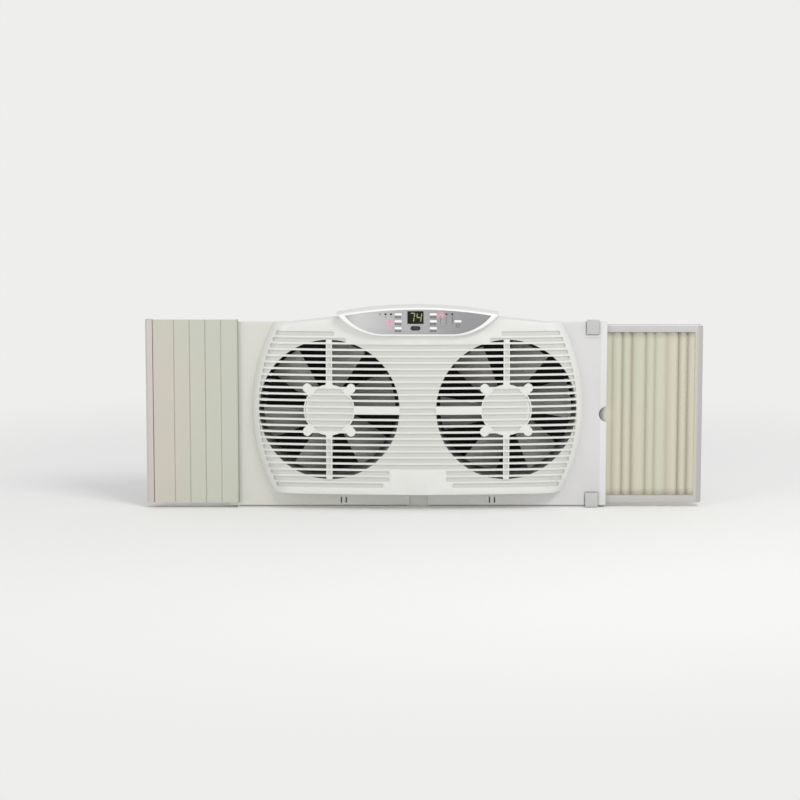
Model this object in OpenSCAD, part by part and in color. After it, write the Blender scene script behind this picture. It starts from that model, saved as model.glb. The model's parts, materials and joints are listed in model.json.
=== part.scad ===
// Twin window fan with a control visor, sliding side extenders and slide locks.
// Millimetres. X runs across the window, -Y faces the room, Z is up.
// The origin lies on the sill, under the middle of the rear shell.

/* [Housing] */
// Width of the front flange
flange_w = 628; // [622:1:660]
// Height of the front flange
flange_h = 308; // [304:1:330]
// Thickness of the front flange
flange_t = 2.5; // [2:0.1:3.5]
// Height of the flange's lower edge above the sill
flange_lift = 4; // [3.5:0.5:8]
// How far the flange's upright edges turn back
lip_d = 3.4; // [2:0.1:3.6]
// Wall of the crowned front body
crown_wall = 3; // [2.4:0.1:3.6]
// How far the crowned body stands in front of the flange
crown_rise = 45; // [43:1:50]
// Radius of the crown across the window
crown_r = 1850; // [1750:10:2200]
// Radius of the body's bowed sides
side_r = 299; // [297:1:303]
// How far each side's centre lies past the middle
side_shift = 24; // [21:1:25]
// Radius of the roll at the bowed sides
rim_r = 34; // [28:1:36]
// Gap from the flange's lower edge to the crowned body
crown_foot = 24; // [22:1:27]
// Depth of the rear shell
rear_d = 72; // [70:1:84]
// Width of the rear shell
rear_w = 600; // [598:1:604]
// Wall of the rear shell
rear_wall = 2.5; // [2:0.1:3]
// How far the rear shell's top lies under the flange's top
sash_drop = 14; // [12:1:16]

/* [Fans] */
// Distance between the two fan shafts
fan_spacing = 292; // [288:1:296]
// Height of the shafts above the flange's lower edge
fan_rise = 165; // [162:1:168]
// Diameter of each fan opening
opening_d = 232; // [226:1:233]
// Tip diameter of the impellers
impeller_d = 218; // [190:1:220]
// Number of blades on each impeller
blade_count = 6; // [4:1:7]
// Thickness of a blade
blade_t = 1.8; // [1.4:0.1:2.4]
// Pitch angle of the blades
blade_tilt = 28; // [20:1:30]
// Angle of the left impeller at rest
left_rest_angle = 15; // [0:1:59]
// Angle of the right impeller at rest
right_rest_angle = 8; // [0:1:59]
// Diameter of the motor shafts
shaft_d = 6; // [5:0.5:7]
// Diameter of the motors
motor_d = 62; // [58:1:64]
// Length of the stack of stator laminations
stack_l = 16; // [12:1:18]

/* [Louvres] */
// Distance from one louvre row to the next
louvre_pitch = 10.5; // [10:0.25:10.75]
// Height of the gap between two louvres
louvre_gap = 5.5; // [4.5:0.1:6]
// Depth of the louvres inside the fan openings
louvre_d = 7; // [5:0.5:7.5]
// Depth of the blind grooves beside the openings
groove_d = 1.6; // [1:0.1:2]
// Width of the upright bars above and below each hub
bar_w = 10; // [6:0.5:14]
// Radius of the hub plates
hub_r = 42; // [40:0.5:44]
// Distance of the hub's screw lobes from the shaft, along X and along Z
lobe_at = 36; // [35:0.5:37]

/* [Visor] */
// Height of the visor's top above the flange's top
visor_rise = 28; // [26:1:31]
// Radius of the visor's arched top
visor_r = 740; // [700:10:900]
// Width of the visor
visor_w = 268; // [262:1:274]
// Height of the visor's front
visor_h = 48; // [47:1:50]
// How far the visor stands in front of the crown
visor_proud = 2.5; // [2:0.1:4]
// Wall of the visor's front
visor_wall = 3.4; // [3:0.1:4]
// Width of the rim over and under the control face
face_rim = 4; // [3.5:0.1:5]
// Thickness of the control face
face_t = 1.2; // [0.8:0.1:1.6]
// Sideways place of the display
display_x = -4; // [-6:1:2]
// Width of the display
display_w = 26; // [22:0.5:28]
// Height of the display
display_h = 20.5; // [18:0.5:21]
// Width of a button
button_w = 12.4; // [10:0.2:13]
// Height of a button
button_h = 3.8; // [3:0.1:4.4]
// Distance between two buttons of a column
button_pitch = 11.4; // [10.5:0.1:12]
// How far a button travels
button_travel = 0.8; // [0.4:0.1:1]

/* [Extenders] */
// Distance from the middle to the right extender's outer end
right_reach = 473; // [468:1:480]
// Distance from the middle to the left extender's outer end
left_reach = 451; // [448:1:470]
// Width of an extender's stile
stile_w = 13; // [11:0.5:15]
// Height of an extender's rails
rail_h = 12; // [10:0.5:13]
// Depth of an extender's rails
rail_d = 14; // [12:0.5:15]
// Wall of the hollow rails
rail_wall = 1.6; // [1.2:0.1:2.4]
// Length of rail that stays inside the housing
rail_overlap = 40; // [36:1:60]
// Travel of an extender
extender_travel = 110; // [90:1:112]
// Number of pleats in the right curtain
pleat_count = 9; // [7:1:10]
// Width of one pleat
pleat_w = 18.5; // [18:0.1:19]
// Thickness of both curtains' sheet
sheet_t = 1.4; // [0.8:0.1:1.8]
// Number of slats in the left curtain
slat_count = 5; // [4:1:6]
// Height of the left curtain
left_curtain_h = 303; // [290:1:303]

/* [Locks] */
// Width of a slide lock
lock_w = 21; // [18:0.5:23]
// Height of a slide lock
lock_h = 24; // [22:0.5:26]
// Thickness of a slide lock
lock_t = 2.8; // [2:0.1:4]
// How far a lock stands past the flange's edge
lock_out = 3; // [2:0.1:3.2]
// Travel of a slide lock
lock_travel = 4; // [3:0.1:4.5]
// Radius of the finger notch in the flange's right edge
finger_r = 13; // [10:0.5:16]

/* [Clearances] */
// Gap round sliding pieces
slide_gap = 0.4; // [0.3:0.05:0.6]
// Gap round buttons, lenses and light pipes
trim_gap = 0.2; // [0.15:0.05:0.3]
// Radial gap between a shaft and its bushes
bearing_gap = 0.03; // [0.02:0.01:0.06]

/* [Hidden] */
$fn = 64;

// Planes across the depth, from the room towards the window
seam_y = -rear_d / 2;
back_y = rear_d / 2;
flange_y = seam_y - flange_t;
crown_y = flange_y - crown_rise;
visor_y = crown_y - visor_proud;

// Heights above the sill
flange_z0 = flange_lift;
flange_z1 = flange_lift + flange_h;
fan_z = flange_lift + fan_rise;
crown_z0 = flange_z0 + crown_foot;
visor_z1 = flange_z1 + visor_rise;
visor_z0 = visor_z1 - visor_h;
rear_z1 = flange_z1 - sash_drop;
fan_x = fan_spacing / 2;
opening_r = opening_d / 2;

// The collar behind the flange guides the extenders' rails
collar_wall = 2.2;
collar_w = flange_w - 10;
rail_y0 = seam_y + 4;
rail_y1 = rail_y0 + rail_d;
collar_y1 = rail_y1 + slide_gap + collar_wall;
collar_z0 = flange_z0 + 0.5;
collar_z1 = flange_z1 - 4;
rail_z0 = collar_z0 + collar_wall + slide_gap;
rail_z1 = collar_z1 - collar_wall - slide_gap;
rail_in = flange_w / 2 - rail_overlap;
web_t = 2.2;
web_in = rail_in - extender_travel - 6;
web_low_z = rail_z0 + rail_h + slide_gap;
web_high_z = rail_z1 - rail_h - slide_gap - web_t;
track_w = 8;

// Right curtain: it runs from a post inside the housing to the stile
post_w = 2.5;
curtain_x0 = right_reach - stile_w - pleat_count * pleat_w;
curtain_gap = 0.3;

// Left curtain: it lies in front of the flange, between a clamp and a cap
cap_w = 17;
cap_edge_r = 8;
clamp_w = 3;
clamp_x = flange_w / 2 - 17;
skin_y = flange_y - 5.5;
skin_z0 = flange_z0 + 5;
skin_z1 = skin_z0 + left_curtain_h;
slat_groove_w = 5;
slat_groove_d = 2.6;

// The crowned body's roll and the slopes of its roof
roll_at = side_r - rim_r;
roll_angle = asin(roll_at / (crown_r - rim_r));
roll_proud = crown_rise + flange_t - crown_r + (crown_r - rim_r) * cos(roll_angle);
roof_x = 207;
roof_drop_x = 71;
roof_rise = 8;

// The visor's outline
corner_r = 103;
corner_x = visor_w / 2 - 79;
visor_edge_r = 3;
face_half_w = visor_w / 2 - 13.5;
face_corner_r = 84.5;
face_z0 = visor_z0 + face_rim - 0.3;
face_y = visor_y + 0.4;
recess_y = face_y + face_t;
visor_inner_y = visor_y + visor_wall;

visor_foot_y = crown_y + 16.5;

// Places on the control face, as X and Z
mid_row_z = visor_z0 + 25.1;
display_spot = [display_x, visor_z0 + 31.2];
window_spot = [display_x, visor_z0 + 13.5];
window_w = 16;
window_h = 7;
left_column_x = display_x - 28.3;
right_column_x = display_x + 29;
power_spot = [display_x + 69.2, mid_row_z];
button_spots = concat(
    [for (x = [left_column_x, right_column_x]) for (i = [1, 0, -1])
        [x, mid_row_z + i * button_pitch]],
    [power_spot]
);
led_r = 1.5;
led_spots = concat(
    [for (x = [-58, -49, -40, 40.6, 50.4, 60]) [display_x + x, mid_row_z + button_pitch]],
    [[display_x - 42, mid_row_z - 1]]
);
button_proud = 1.3;
button_gap = 0.3;
button_rest = 0.1;
retainer_t = 0.8;
retainer_rim = 1;
stem_r = 1.5;
switch_size = 6;
switch_h = 3.4;
plunger_r = 1.75;

// The control board, behind the visor's front
board_y = visor_inner_y + 6.6;
board_t = 1.6;
board_x0 = display_x - 72;
board_x1 = display_x + 88;
board_z0 = visor_z0 + 8;
board_z1 = visor_z0 + 38.5;
standoff_r = 2.5;
standoff_spots = [
    for (x = [board_x0 + 6, board_x1 - 6]) for (z = [board_z0 + 4, board_z1 - 4.5]) [x, z]
];
button_plunger_y = board_y - switch_h - 0.55;
stem_end_y = button_plunger_y - button_travel - button_rest;

// Motor and impeller, from the hub plate towards the window
hub_inset = 3;
hub_floor_y = crown_y + pow(fan_x + hub_r - hub_inset, 2) / (2 * crown_r) + 3.2;
motor_r = motor_d / 2;
bell_l = 8;
bell_wall = 2.4;
motor_y0 = hub_floor_y + 7.6;
stack_y0 = motor_y0 + bell_l;
stack_y1 = stack_y0 + stack_l;
motor_y1 = stack_y1 + bell_l;
shaft_r = shaft_d / 2;
bush_r = shaft_r + 3;
bush_l = 8;
rotor_r = 15.6;
pole_gap = 0.6;
yoke_r = 24.5;
pole_w = 14;
coil_out = 5;
coil_r0 = 17.6;
coil_r1 = 21;
ear_r = 7;
post_r = 5;
motor_screw_r = 1.9;
post_bite = 3.5;
cup_r = motor_r + 5;
cup_wall = 2.5;
cup_y0 = motor_y1 - 8;
cup_web_y = motor_y1 + 4;
cup_y1 = cup_y0 + 22;
impeller_y = (cup_y0 + cup_y1) / 2;
impeller_r = impeller_d / 2;
blade_camber_r = 110;
blade_shift = 4.5;
blade_back = 12;
blade_front_root = 25;
blade_front_tip = 14;
nut_r = 6;
nut_l = 5;
shaft_y1 = cup_y1 + nut_l + 3;
duct_t = 2.5;
duct_gap = 0.4;
guard_r = opening_r - 1;
guard_bar = 3;
guard_ribs = [-64, 12.5, 89];

// Housing screws, as X and Z, and the bosses that take them
screw_spots = [
    for (s = [-1, 1]) for (p = [[99, -107], [99, 107], [-96, -117], [-96, 107]])
        [s * (fan_x + p[0]), fan_z + p[1]]
];
boss_r = 5.5;
boss_seat_y = seam_y + 3;
boss_web = 6;
screw_r = 1.75;
screw_head_r = 3.2;
screw_head_l = 2.5;
screw_bite = 12;

// Slide locks: a plate on the flange, held by a headed pin through a slot
lock_x = flange_w / 2 - 24;
lock_pin_r = 3;
lock_pin_in = 4;
lock_head_r = 5;
lock_head_t = 1.5;

// Lower edge of the flange: a notch and two pairs of slits
notch_x0 = -13.5;
notch_x1 = 17;
notch_h = 14.5;
slit_spots = [-127, -119, 120, 128.5];
finger_z = flange_z0 + 153;

// Power board, transformer and leads
power_board_y = back_y - rear_wall - 15;
power_board_w = 64;
power_board_z0 = 62;
power_board_z1 = 112;
wire_r = 1.8;
wire_y = motor_y0 + 4;
wire_x = 12;
grommet_spot = [44, 24];
grommet_r = 6;
grommet_bore_r = 3.7;

// ---- Helpers ----

// Extrudes an outline drawn in X and Z from y0 to y1
module along_y(y0, y1) {
    translate([0, y1, 0]) rotate([90, 0, 0]) linear_extrude(y1 - y0) children();
}

// Extrudes a profile drawn in Y and Z from x0 to x1
module along_x(x0, x1) {
    translate([x0, 0, 0]) rotate([90, 0, 90]) linear_extrude(x1 - x0) children();
}

// A box given by two corners
module block(lo, hi) {
    translate(lo) cube(hi - lo);
}

// A cylinder along Y
module rod(x, z, r, y0, y1) {
    translate([x, y1, z]) rotate([90, 0, 0]) cylinder(r = r, h = y1 - y0);
}

// Turns a profile of radius and height round an axis along Y, its height towards the room
module turned(x, y, z) {
    translate([x, y, z]) rotate([90, 0, 0]) rotate_extrude($fn = 128) children();
}

// A rectangle whose far corner is rounded
module eased(w, h, r) {
    difference() {
        square([w, h]);
        difference() {
            translate([w - r, h - r]) square(r + 1);
            translate([w - r, h - r]) circle(r);
        }
    }
}

// A stadium outline between two points on one level
module stadium(x0, x1, h) {
    translate([x0 + h / 2, -h / 2]) square([x1 - x0 - h, h]);
    for (x = [x0 + h / 2, x1 - h / 2]) translate([x, 0]) circle(h / 2, $fn = 32);
}

// ---- The crowned body and the visor ----

// Profile of the crown and its roll, turned round a side's centre; t draws it in
module dome_profile(t) {
    axis = crown_rise + flange_t - crown_r;
    rho = rim_r - t;
    top = [roll_at + rho * sin(roll_angle), roll_proud + rho * cos(roll_angle)];
    intersection() {
        translate([0, axis]) circle(crown_r - t, $fn = 720);
        polygon([[0, -4], [top[0], -4], top, [top[0], crown_rise + 10], [0, crown_rise + 10]]);
    }
    intersection() {
        translate([roll_at, roll_proud]) circle(rho, $fn = 96);
        translate([top[0], -4]) square([rim_r, crown_rise + 10]);
    }
}

// The dome of the right half between two depths under its surface, back to y1
module dome(t0, t1, y1) {
    intersection() {
        turned(-side_shift, seam_y, fan_z) difference() {
            dome_profile(t0);
            if (t1 > t0) dome_profile(t1);
        }
        block([0, crown_y - 5, crown_z0], [side_r, y1, visor_z1 + 20]);
    }
}

// The body's outline on the right half, under the roof's slope
module roof_outline(t) {
    polygon([
        [0, crown_z0 + t], [side_r, crown_z0 + t], [side_r, flange_z1 - t],
        [roof_x, flange_z1 - t], [roof_x - roof_drop_x, flange_z1 + roof_rise - t],
        [0, flange_z1 + roof_rise - t]
    ]);
}

// The visor's outline in X and Z; t draws it in
module visor_outline(t) {
    intersection() {
        translate([0, visor_z1 - visor_r]) circle(visor_r - t, $fn = 360);
        translate([-visor_w, visor_z0 + t]) square([2 * visor_w, 100]);
        union() {
            translate([-corner_x, visor_z0 + t]) square([2 * corner_x, 90]);
            for (s = [-1, 1])
                translate([s * corner_x, visor_z0 + corner_r]) circle(corner_r - t, $fn = 128);
        }
    }
}

// The visor as a solid with a rounded front edge
module visor_body() {
    d = seam_y - visor_y;
    intersection() {
        turned(0, seam_y, visor_z1 - visor_r) eased(visor_r, d, visor_edge_r);
        union() {
            along_x(-corner_x, corner_x) translate([seam_y, visor_z0 + 90]) rotate(180)
                rotate(-90) mirror([1, 0]) eased(90, d, visor_edge_r);
            for (s = [-1, 1]) turned(s * corner_x, seam_y, visor_z0 + corner_r)
                eased(corner_r, d, visor_edge_r);
        }
    }
}

module face_outline(gap) {
    intersection() {
        translate([0, visor_z1 - visor_r])
            circle(visor_r - face_rim + gap, $fn = 360);
        translate([-face_half_w - gap, face_z0 - gap]) square([2 * (face_half_w + gap), 60]);
        union() {
            translate([-corner_x, face_z0 - gap]) square([2 * corner_x, 70]);
            for (s = [-1, 1]) translate([s * corner_x, face_z0 + face_corner_r])
                circle(face_corner_r + gap, $fn = 128);
        }
    }
}

// ---- Front shell: the louvred half ----

// Depth of the crown's surface at a sideways place, on the fans' level
function crown_at(x) = crown_y + pow(abs(x) + side_shift, 2) / (2 * crown_r);

// Furthest reach of a louvre row to the side, at row k
function row_end(k) = -side_shift + sqrt(pow(side_r - 12, 2) - pow(k * louvre_pitch, 2));

// Where a louvre row starts beside the middle; rows in between cross the middle
function row_start(k) = k > 11 ? 137 : k > 10 ? 118 : k > -10 ? -1 : k > -12 ? 46.5 : 57;

// The louvre rows of the right half, as an outline in X and Z
module louvre_rows(h) {
    for (k = [-12:12])
        translate([0, fan_z + k * louvre_pitch])
            if (row_start(k) < 0) {
                translate([-1, -h / 2]) square([1 + row_end(k) - h / 2, h]);
                translate([row_end(k) - h / 2, 0]) circle(h / 2, $fn = 32);
            } else stadium(row_start(k), row_end(k), h);
}

module hub_outline(grow) {
    circle(hub_r + grow);
    for (x = [-lobe_at, lobe_at]) for (z = [-lobe_at, lobe_at])
        translate([x, z]) circle(7.5 + grow, $fn = 48);
}

// The open slots of the right fan: rows less the hub, the upright bars and the wire channel
module fan_slots() {
    difference() {
        intersection() {
            translate([fan_x, fan_z]) circle(opening_r, $fn = 128);
            louvre_rows(louvre_gap);
        }
        translate([fan_x, fan_z]) hub_outline(0);
        translate([fan_x - bar_w / 2, fan_z - opening_r - 2]) square([bar_w, 2 * opening_r + 4]);
        translate([fan_x - opening_r - 2, fan_z - louvre_gap / 2 - 0.5])
            square([opening_r, louvre_gap + 1]);
    }
}

// What runs back from the right half's front wall, as outlines in X and Z
module half_walls() {
    translate([fan_x, fan_z]) {
        difference() {
            circle(opening_r + duct_t, $fn = 128);
            circle(opening_r, $fn = 128);
        }
    }
}

// Bosses for the housing screws of the right half
module half_bosses(r) {
    for (p = screw_spots) if (p[0] > 0) translate([p[0], p[1]]) circle(r);
}

// Motor posts of the right half; each starts inside the louvres
module half_posts(r, y0, y1) {
    for (x = [-lobe_at, lobe_at]) for (z = [-lobe_at, lobe_at])
        rod(fan_x + x, fan_z + z, r, max(y0, crown_at(fan_x + x) + 3), y1);
}

// The right half of the front body: wall, roof and foot, louvres, duct, bosses and posts
module half_shell() {
    difference() {
        union() {
            intersection() {
                dome(0, crown_wall, seam_y);
                along_y(crown_y - 5, seam_y + 1) roof_outline(0);
            }
            intersection() {
                dome(1, 0, seam_y);
                along_y(crown_y - 5, seam_y + 1) difference() {
                    roof_outline(0);
                    translate([-1, 0]) roof_outline(crown_wall);
                }
            }
            intersection() {
                dome(1, louvre_d, seam_y);
                rod(fan_x, fan_z, opening_r + duct_t, crown_y - 5, back_y);
            }
            intersection() {
                dome(1, 0, seam_y);
                along_y(crown_y - 5, seam_y + 1) half_walls();
            }
            intersection() {
                dome(1, 0, boss_seat_y);
                along_y(crown_y - 5, boss_seat_y) half_bosses(boss_r - 0.5);
            }
            half_posts(post_r, crown_y, motor_y0);
        }
        intersection() {
            along_y(crown_y - 5, seam_y - flange_t) difference() {
                louvre_rows(louvre_gap);
                translate([fan_x, fan_z]) circle(opening_r, $fn = 128);
            }
            dome(-2, groove_d, seam_y);
        }
        along_y(crown_y - 5, seam_y + 1) fan_slots();
        rod(fan_x, fan_z, hub_r - hub_inset, hub_floor_y, seam_y + 1);
        translate([fan_x - opening_r - 5, wire_y, fan_z]) rotate([0, 90, 0])
            cylinder(r = wire_r + 1, h = 12);
        along_y(boss_seat_y - screw_bite, boss_seat_y + 1) half_bosses(screw_r);
        half_posts(motor_screw_r, motor_y0 - post_bite, motor_y0 + 1);
    }
}

// ---- Front shell: flange, visor and what is cut in them ----

// The flange: a plate whose upright edges turn back
module flange_plate() {
    round_r = min(flange_t - 0.4, 2.2);
    translate([0, 0, flange_z0]) linear_extrude(flange_h) difference() {
        intersection_for(s = [0, 1]) mirror([s, 0]) translate([-flange_w, seam_y + lip_d])
            mirror([0, 1]) eased(1.5 * flange_w, flange_t + lip_d, round_r);
        translate([-flange_w / 2 + flange_t, seam_y]) square([flange_w - 2 * flange_t, lip_d + 1]);
    }
}

// The hole that the body's hollow makes in the flange; its edge lies inside the body's wall
module cavity_outline() {
    for (s = [0, 1]) mirror([s, 0]) intersection() {
        translate([-side_shift, fan_z]) circle(side_r - crown_wall + 0.4, $fn = 128);
        translate([-1, 0]) roof_outline(crown_wall / 2);
    }
}

// Height of a slide lock's pin: s is 1 for the upper lock, -1 for the lower
function lock_z(s) = s > 0 ? flange_z1 + lock_out - lock_h / 2 : flange_z0 - lock_out + lock_h / 2;

function lock_pin_z(s) = lock_z(s) - s * lock_pin_in;

module lock_slot(s) {
    z = lock_pin_z(s);
    reach = lock_pin_r + slide_gap;
    for (move = [0, 1]) rod(lock_x, z - s * move * lock_travel, reach, flange_y - 1, seam_y + 1);
    block(
        [lock_x - reach, flange_y - 1, min(z, z - s * lock_travel)],
        [lock_x + reach, seam_y + 1, max(z, z - s * lock_travel)]
    );
}

// The openings in the visor's front, with the gaps round what stands in them
module panel_holes(y0, y1) {
    along_y(y0, y1) {
        for (p = button_spots) translate(p) stadium(-button_w / 2 - button_gap,
            button_w / 2 + button_gap, button_h + 2 * button_gap);
        translate(display_spot)
            square([display_w + 2 * trim_gap, display_h + 2 * trim_gap], center = true);
        translate(window_spot) stadium(-window_w / 2 - trim_gap, window_w / 2 + trim_gap,
            window_h + 2 * trim_gap);
        for (p = led_spots) translate(p) circle(led_r + trim_gap, $fn = 32);
    }
}

// The visor's wall; low down it only reaches back to the crown
module visor_shell() {
    difference() {
        intersection() {
            visor_body();
            union() {
                block([-visor_w, visor_y - 1, 0], [visor_w, visor_foot_y, visor_z1 + 1]);
                block([-visor_w, visor_y - 1, flange_z1 - 6], [visor_w, seam_y, visor_z1 + 1]);
            }
        }
        along_y(visor_inner_y, seam_y + 1) visor_outline(crown_wall);
        along_y(visor_y - 1, recess_y) face_outline(trim_gap);
        panel_holes(visor_y - 1, visor_inner_y + 1);
    }
}

module front_shell() color([0.84, 0.84, 0.83]) {
    difference() {
        flange_plate();
        along_y(flange_y - 1, seam_y + 1) cavity_outline();
        block([notch_x0, flange_y - 1, 0], [notch_x1, seam_y + 1, flange_z0 + notch_h]);
        for (x = slit_spots)
            block([x - 1, flange_y - 1, flange_z0 + 4], [x + 1, seam_y + 1, flange_z0 + 14]);
        rod(flange_w / 2, finger_z, finger_r, flange_y - 1, seam_y + lip_d + 1);
        for (s = [-1, 1]) lock_slot(s);
    }
    difference() {
        for (s = [0, 1]) mirror([s, 0, 0]) half_shell();
        along_y(visor_y - 1, seam_y + 1) visor_outline(crown_wall);
    }
    visor_shell();
    for (p = standoff_spots) rod(p[0], p[1], standoff_r, visor_inner_y - 1, board_y);
}

module control_face() color([0.65, 0.65, 0.66]) {
    difference() {
        along_y(face_y, recess_y) face_outline(0);
        panel_holes(face_y - 1, recess_y + 1);
    }
}

module display_lens() color([0.13, 0.15, 0.03]) {
    translate([display_spot[0], 0, display_spot[1]]) along_y(face_y - 0.3, visor_inner_y)
        square([display_w, display_h], center = true);
}

module ir_window() color([0.26, 0.24, 0.25]) {
    translate([window_spot[0], 0, window_spot[1]]) along_y(face_y - 0.3, visor_inner_y)
        stadium(-window_w / 2, window_w / 2, window_h);
}

module indicator_leds() color([0.25, 0.2, 0.22]) {
    for (p = led_spots) rod(p[0], p[1], led_r, face_y - 0.1, board_y);
}

// A button: its cap, the retainer behind the wall and the stem towards its switch
module button(i) color([0.95, 0.95, 0.95]) {
    p = button_spots[i];
    translate([p[0], 0, p[1]]) {
        retainer_y = visor_inner_y + 0.3;
        along_y(face_y - button_proud, retainer_y)
            stadium(-button_w / 2, button_w / 2, button_h);
        along_y(retainer_y, retainer_y + retainer_t)
            stadium(-button_w / 2 - retainer_rim, button_w / 2 + retainer_rim,
                button_h + 2 * retainer_rim);
        rod(0, 0, stem_r, retainer_y, stem_end_y);
    }
}

module control_board() color([0.1, 0.35, 0.2]) {
    block([board_x0, board_y, board_z0], [board_x1, board_y + board_t, board_z1]);
}

module display_module() color([0.1, 0.1, 0.1]) {
    block(
        [display_spot[0] - display_w / 2 - 2, visor_inner_y, display_spot[1] - display_h / 2 - 1.5],
        [display_spot[0] + display_w / 2 + 2, board_y, display_spot[1] + display_h / 2 + 1.5]
    );
    block(
        [window_spot[0] - 4, visor_inner_y, window_spot[1] - 3.5],
        [window_spot[0] + 4, board_y, window_spot[1] + 2.5]
    );
}

module tact_switches() color([0.15, 0.15, 0.16]) {
    h = switch_size / 2;
    for (p = button_spots) {
        block([p[0] - h, board_y - switch_h, p[1] - h], [p[0] + h, board_y, p[1] + h]);
        rod(p[0], p[1], plunger_r, button_plunger_y, board_y - switch_h);
    }
}

// ---- Rear shell ----

// The tray's outer or inner form; t draws its walls in
module tray(t) {
    round_r = 10 - t;
    intersection() {
        linear_extrude(rear_z1) intersection_for(s = [0, 1]) mirror([s, 0])
            translate([-rear_w, seam_y - (t > 0 ? 1 : 0)])
                eased(1.5 * rear_w - t, rear_d - t + (t > 0 ? 1 : 0), round_r);
        along_x(-rear_w, rear_w) translate([seam_y - (t > 0 ? 1 : 0), t])
            eased(rear_d - t + (t > 0 ? 1 : 0), rear_z1 - 2 * t, round_r);
    }
}

// Puts its children on both shafts
module both_fans() {
    for (s = [-1, 1]) translate([s * fan_x, 0, fan_z]) children();
}

// The rear guard's gaps, as an outline in X and Z round one shaft
module guard_gaps() {
    rows = floor(guard_r / louvre_pitch);
    difference() {
        circle(guard_r, $fn = 128);
        circle(cup_r - 4);
        for (k = [-rows - 1:rows])
            translate([-guard_r - 1, (k + 0.5) * louvre_pitch - guard_bar / 2])
                square([2 * guard_r + 2, guard_bar]);
        for (x = guard_ribs) translate([x - guard_bar / 2, -guard_r - 1])
            square([guard_bar, 2 * guard_r + 2]);
    }
}

module rear_shell() color([0.83, 0.83, 0.82]) {
    in_y = back_y - rear_wall;
    difference() {
        union() {
            tray(0);
            block([-collar_w / 2, seam_y, collar_z0], [collar_w / 2, collar_y1, collar_z1]);
        }
        tray(rear_wall);
        block(
            [-collar_w, seam_y - 1, collar_z0 + collar_wall],
            [collar_w, collar_y1 - collar_wall, collar_z1 - collar_wall]
        );
        both_fans() along_y(in_y - 1, back_y + 1) guard_gaps();
        for (p = screw_spots) rod(p[0], p[1], boss_r - 2, in_y - 1, back_y + 1);
        rod(grommet_spot[0], grommet_spot[1], grommet_r, in_y - 1, back_y + 1);
    }
    hood_back();
    both_fans() difference() {
        rod(0, 0, opening_r + duct_t, seam_y + duct_gap, in_y + 1);
        rod(0, 0, opening_r, seam_y, in_y + 2);
    }
    for (s = [0, 1]) mirror([s, 0, 0]) {
        for (z = [web_low_z, web_high_z])
            block([web_in, rail_y0, z], [curtain_x0, in_y + 1, z + web_t]);
        block([web_in, rail_y0 + 3, rear_wall - 1],
            [rear_w / 2 - 3, rail_y0 + 3 + track_w, rail_z0 - slide_gap]);
    }
    block([curtain_x0 - post_w, rail_y0 + 1, web_low_z + 1],
        [curtain_x0, rail_y1 - 1, web_high_z + 1]);
    for (p = screw_spots) difference() {
        rod(p[0], p[1], boss_r, boss_seat_y, back_y - 0.5);
        rod(p[0], p[1], boss_r - 2, boss_seat_y + boss_web, back_y + 1);
        rod(p[0], p[1], screw_r + 0.15, boss_seat_y - 1, back_y);
    }
    for (x = [-1, 1]) for (z = [power_board_z0 + 5, power_board_z1 - 5])
        rod(x * (power_board_w / 2 - 5), z, 3, power_board_y, in_y + 1);
}

// The plate that closes the visor from behind
module hood_back() {
    along_y(seam_y, seam_y + rear_wall) intersection() {
        union() {
            visor_outline(0);
            for (s = [0, 1]) mirror([s, 0]) roof_outline(0);
        }
        translate([-roof_x, collar_z1 - 12]) square([2 * roof_x, 60]);
    }
}

module housing_screws() color([0.5, 0.5, 0.52]) {
    for (p = screw_spots) {
        rod(p[0], p[1], screw_r, boss_seat_y - screw_bite + 1, boss_seat_y + boss_web);
        rod(p[0], p[1], screw_head_r, boss_seat_y + boss_web,
            boss_seat_y + boss_web + screw_head_l);
    }
}

module cord_grommet() color([0.15, 0.15, 0.15]) {
    in_y = back_y - rear_wall;
    translate([grommet_spot[0], back_y, grommet_spot[1]]) rotate([90, 0, 0]) rotate_extrude()
        translate([grommet_bore_r, 0]) difference() {
            translate([0, -1.5]) square([grommet_r + 1.8 - grommet_bore_r, rear_wall + 3]);
            translate([grommet_r - grommet_bore_r, 0]) square([3, rear_wall]);
        }
}

module power_board() color([0.55, 0.42, 0.2]) {
    block([-power_board_w / 2, power_board_y - board_t, power_board_z0],
        [power_board_w / 2, power_board_y, power_board_z1]);
    for (x = [-18, 2]) rod(x, power_board_z0 + 14, 6, power_board_y - board_t - 14,
        power_board_y - board_t);
    block([10, power_board_y - board_t - 11, power_board_z0 + 26],
        [28, power_board_y - board_t, power_board_z0 + 40]);
}

module transformer() color([0.3, 0.3, 0.32]) {
    block([-27, -4, rear_wall], [27, 16, rear_wall + 44]);
    difference() {
        block([-17, -12, rear_wall + 6], [17, 24, rear_wall + 38]);
        block([-28, -4, 0], [28, 16, 60]);
    }
}

// A round lead through a list of points, along the axes
module lead(points) {
    for (i = [0:len(points) - 2]) {
        a = points[i];
        b = points[i + 1];
        d = b - a;
        l = norm(d);
        translate(a) rotate([0, acos(d[2] / l), atan2(d[1], d[0])]) cylinder(r = wire_r, h = l);
        if (i > 0) translate(a) sphere(wire_r);
    }
}

module wiring_harness() color([0.2, 0.2, 0.22]) {
    back_of_board = board_y + board_t;
    for (s = [-1, 1]) lead([
        [s * (fan_x - motor_r), wire_y, fan_z], [s * wire_x, wire_y, fan_z],
        [s * wire_x, wire_y, board_z0 + 6], [s * wire_x, back_of_board, board_z0 + 6]
    ]);
    lead([
        [0, back_of_board, board_z0 + 12], [0, seam_y - 8, board_z0 + 12],
        [0, seam_y - 8, power_board_z1 - 8], [0, power_board_y - board_t, power_board_z1 - 8]
    ]);
}

// ---- Motors and impellers; s is -1 on the left, 1 on the right ----

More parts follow.
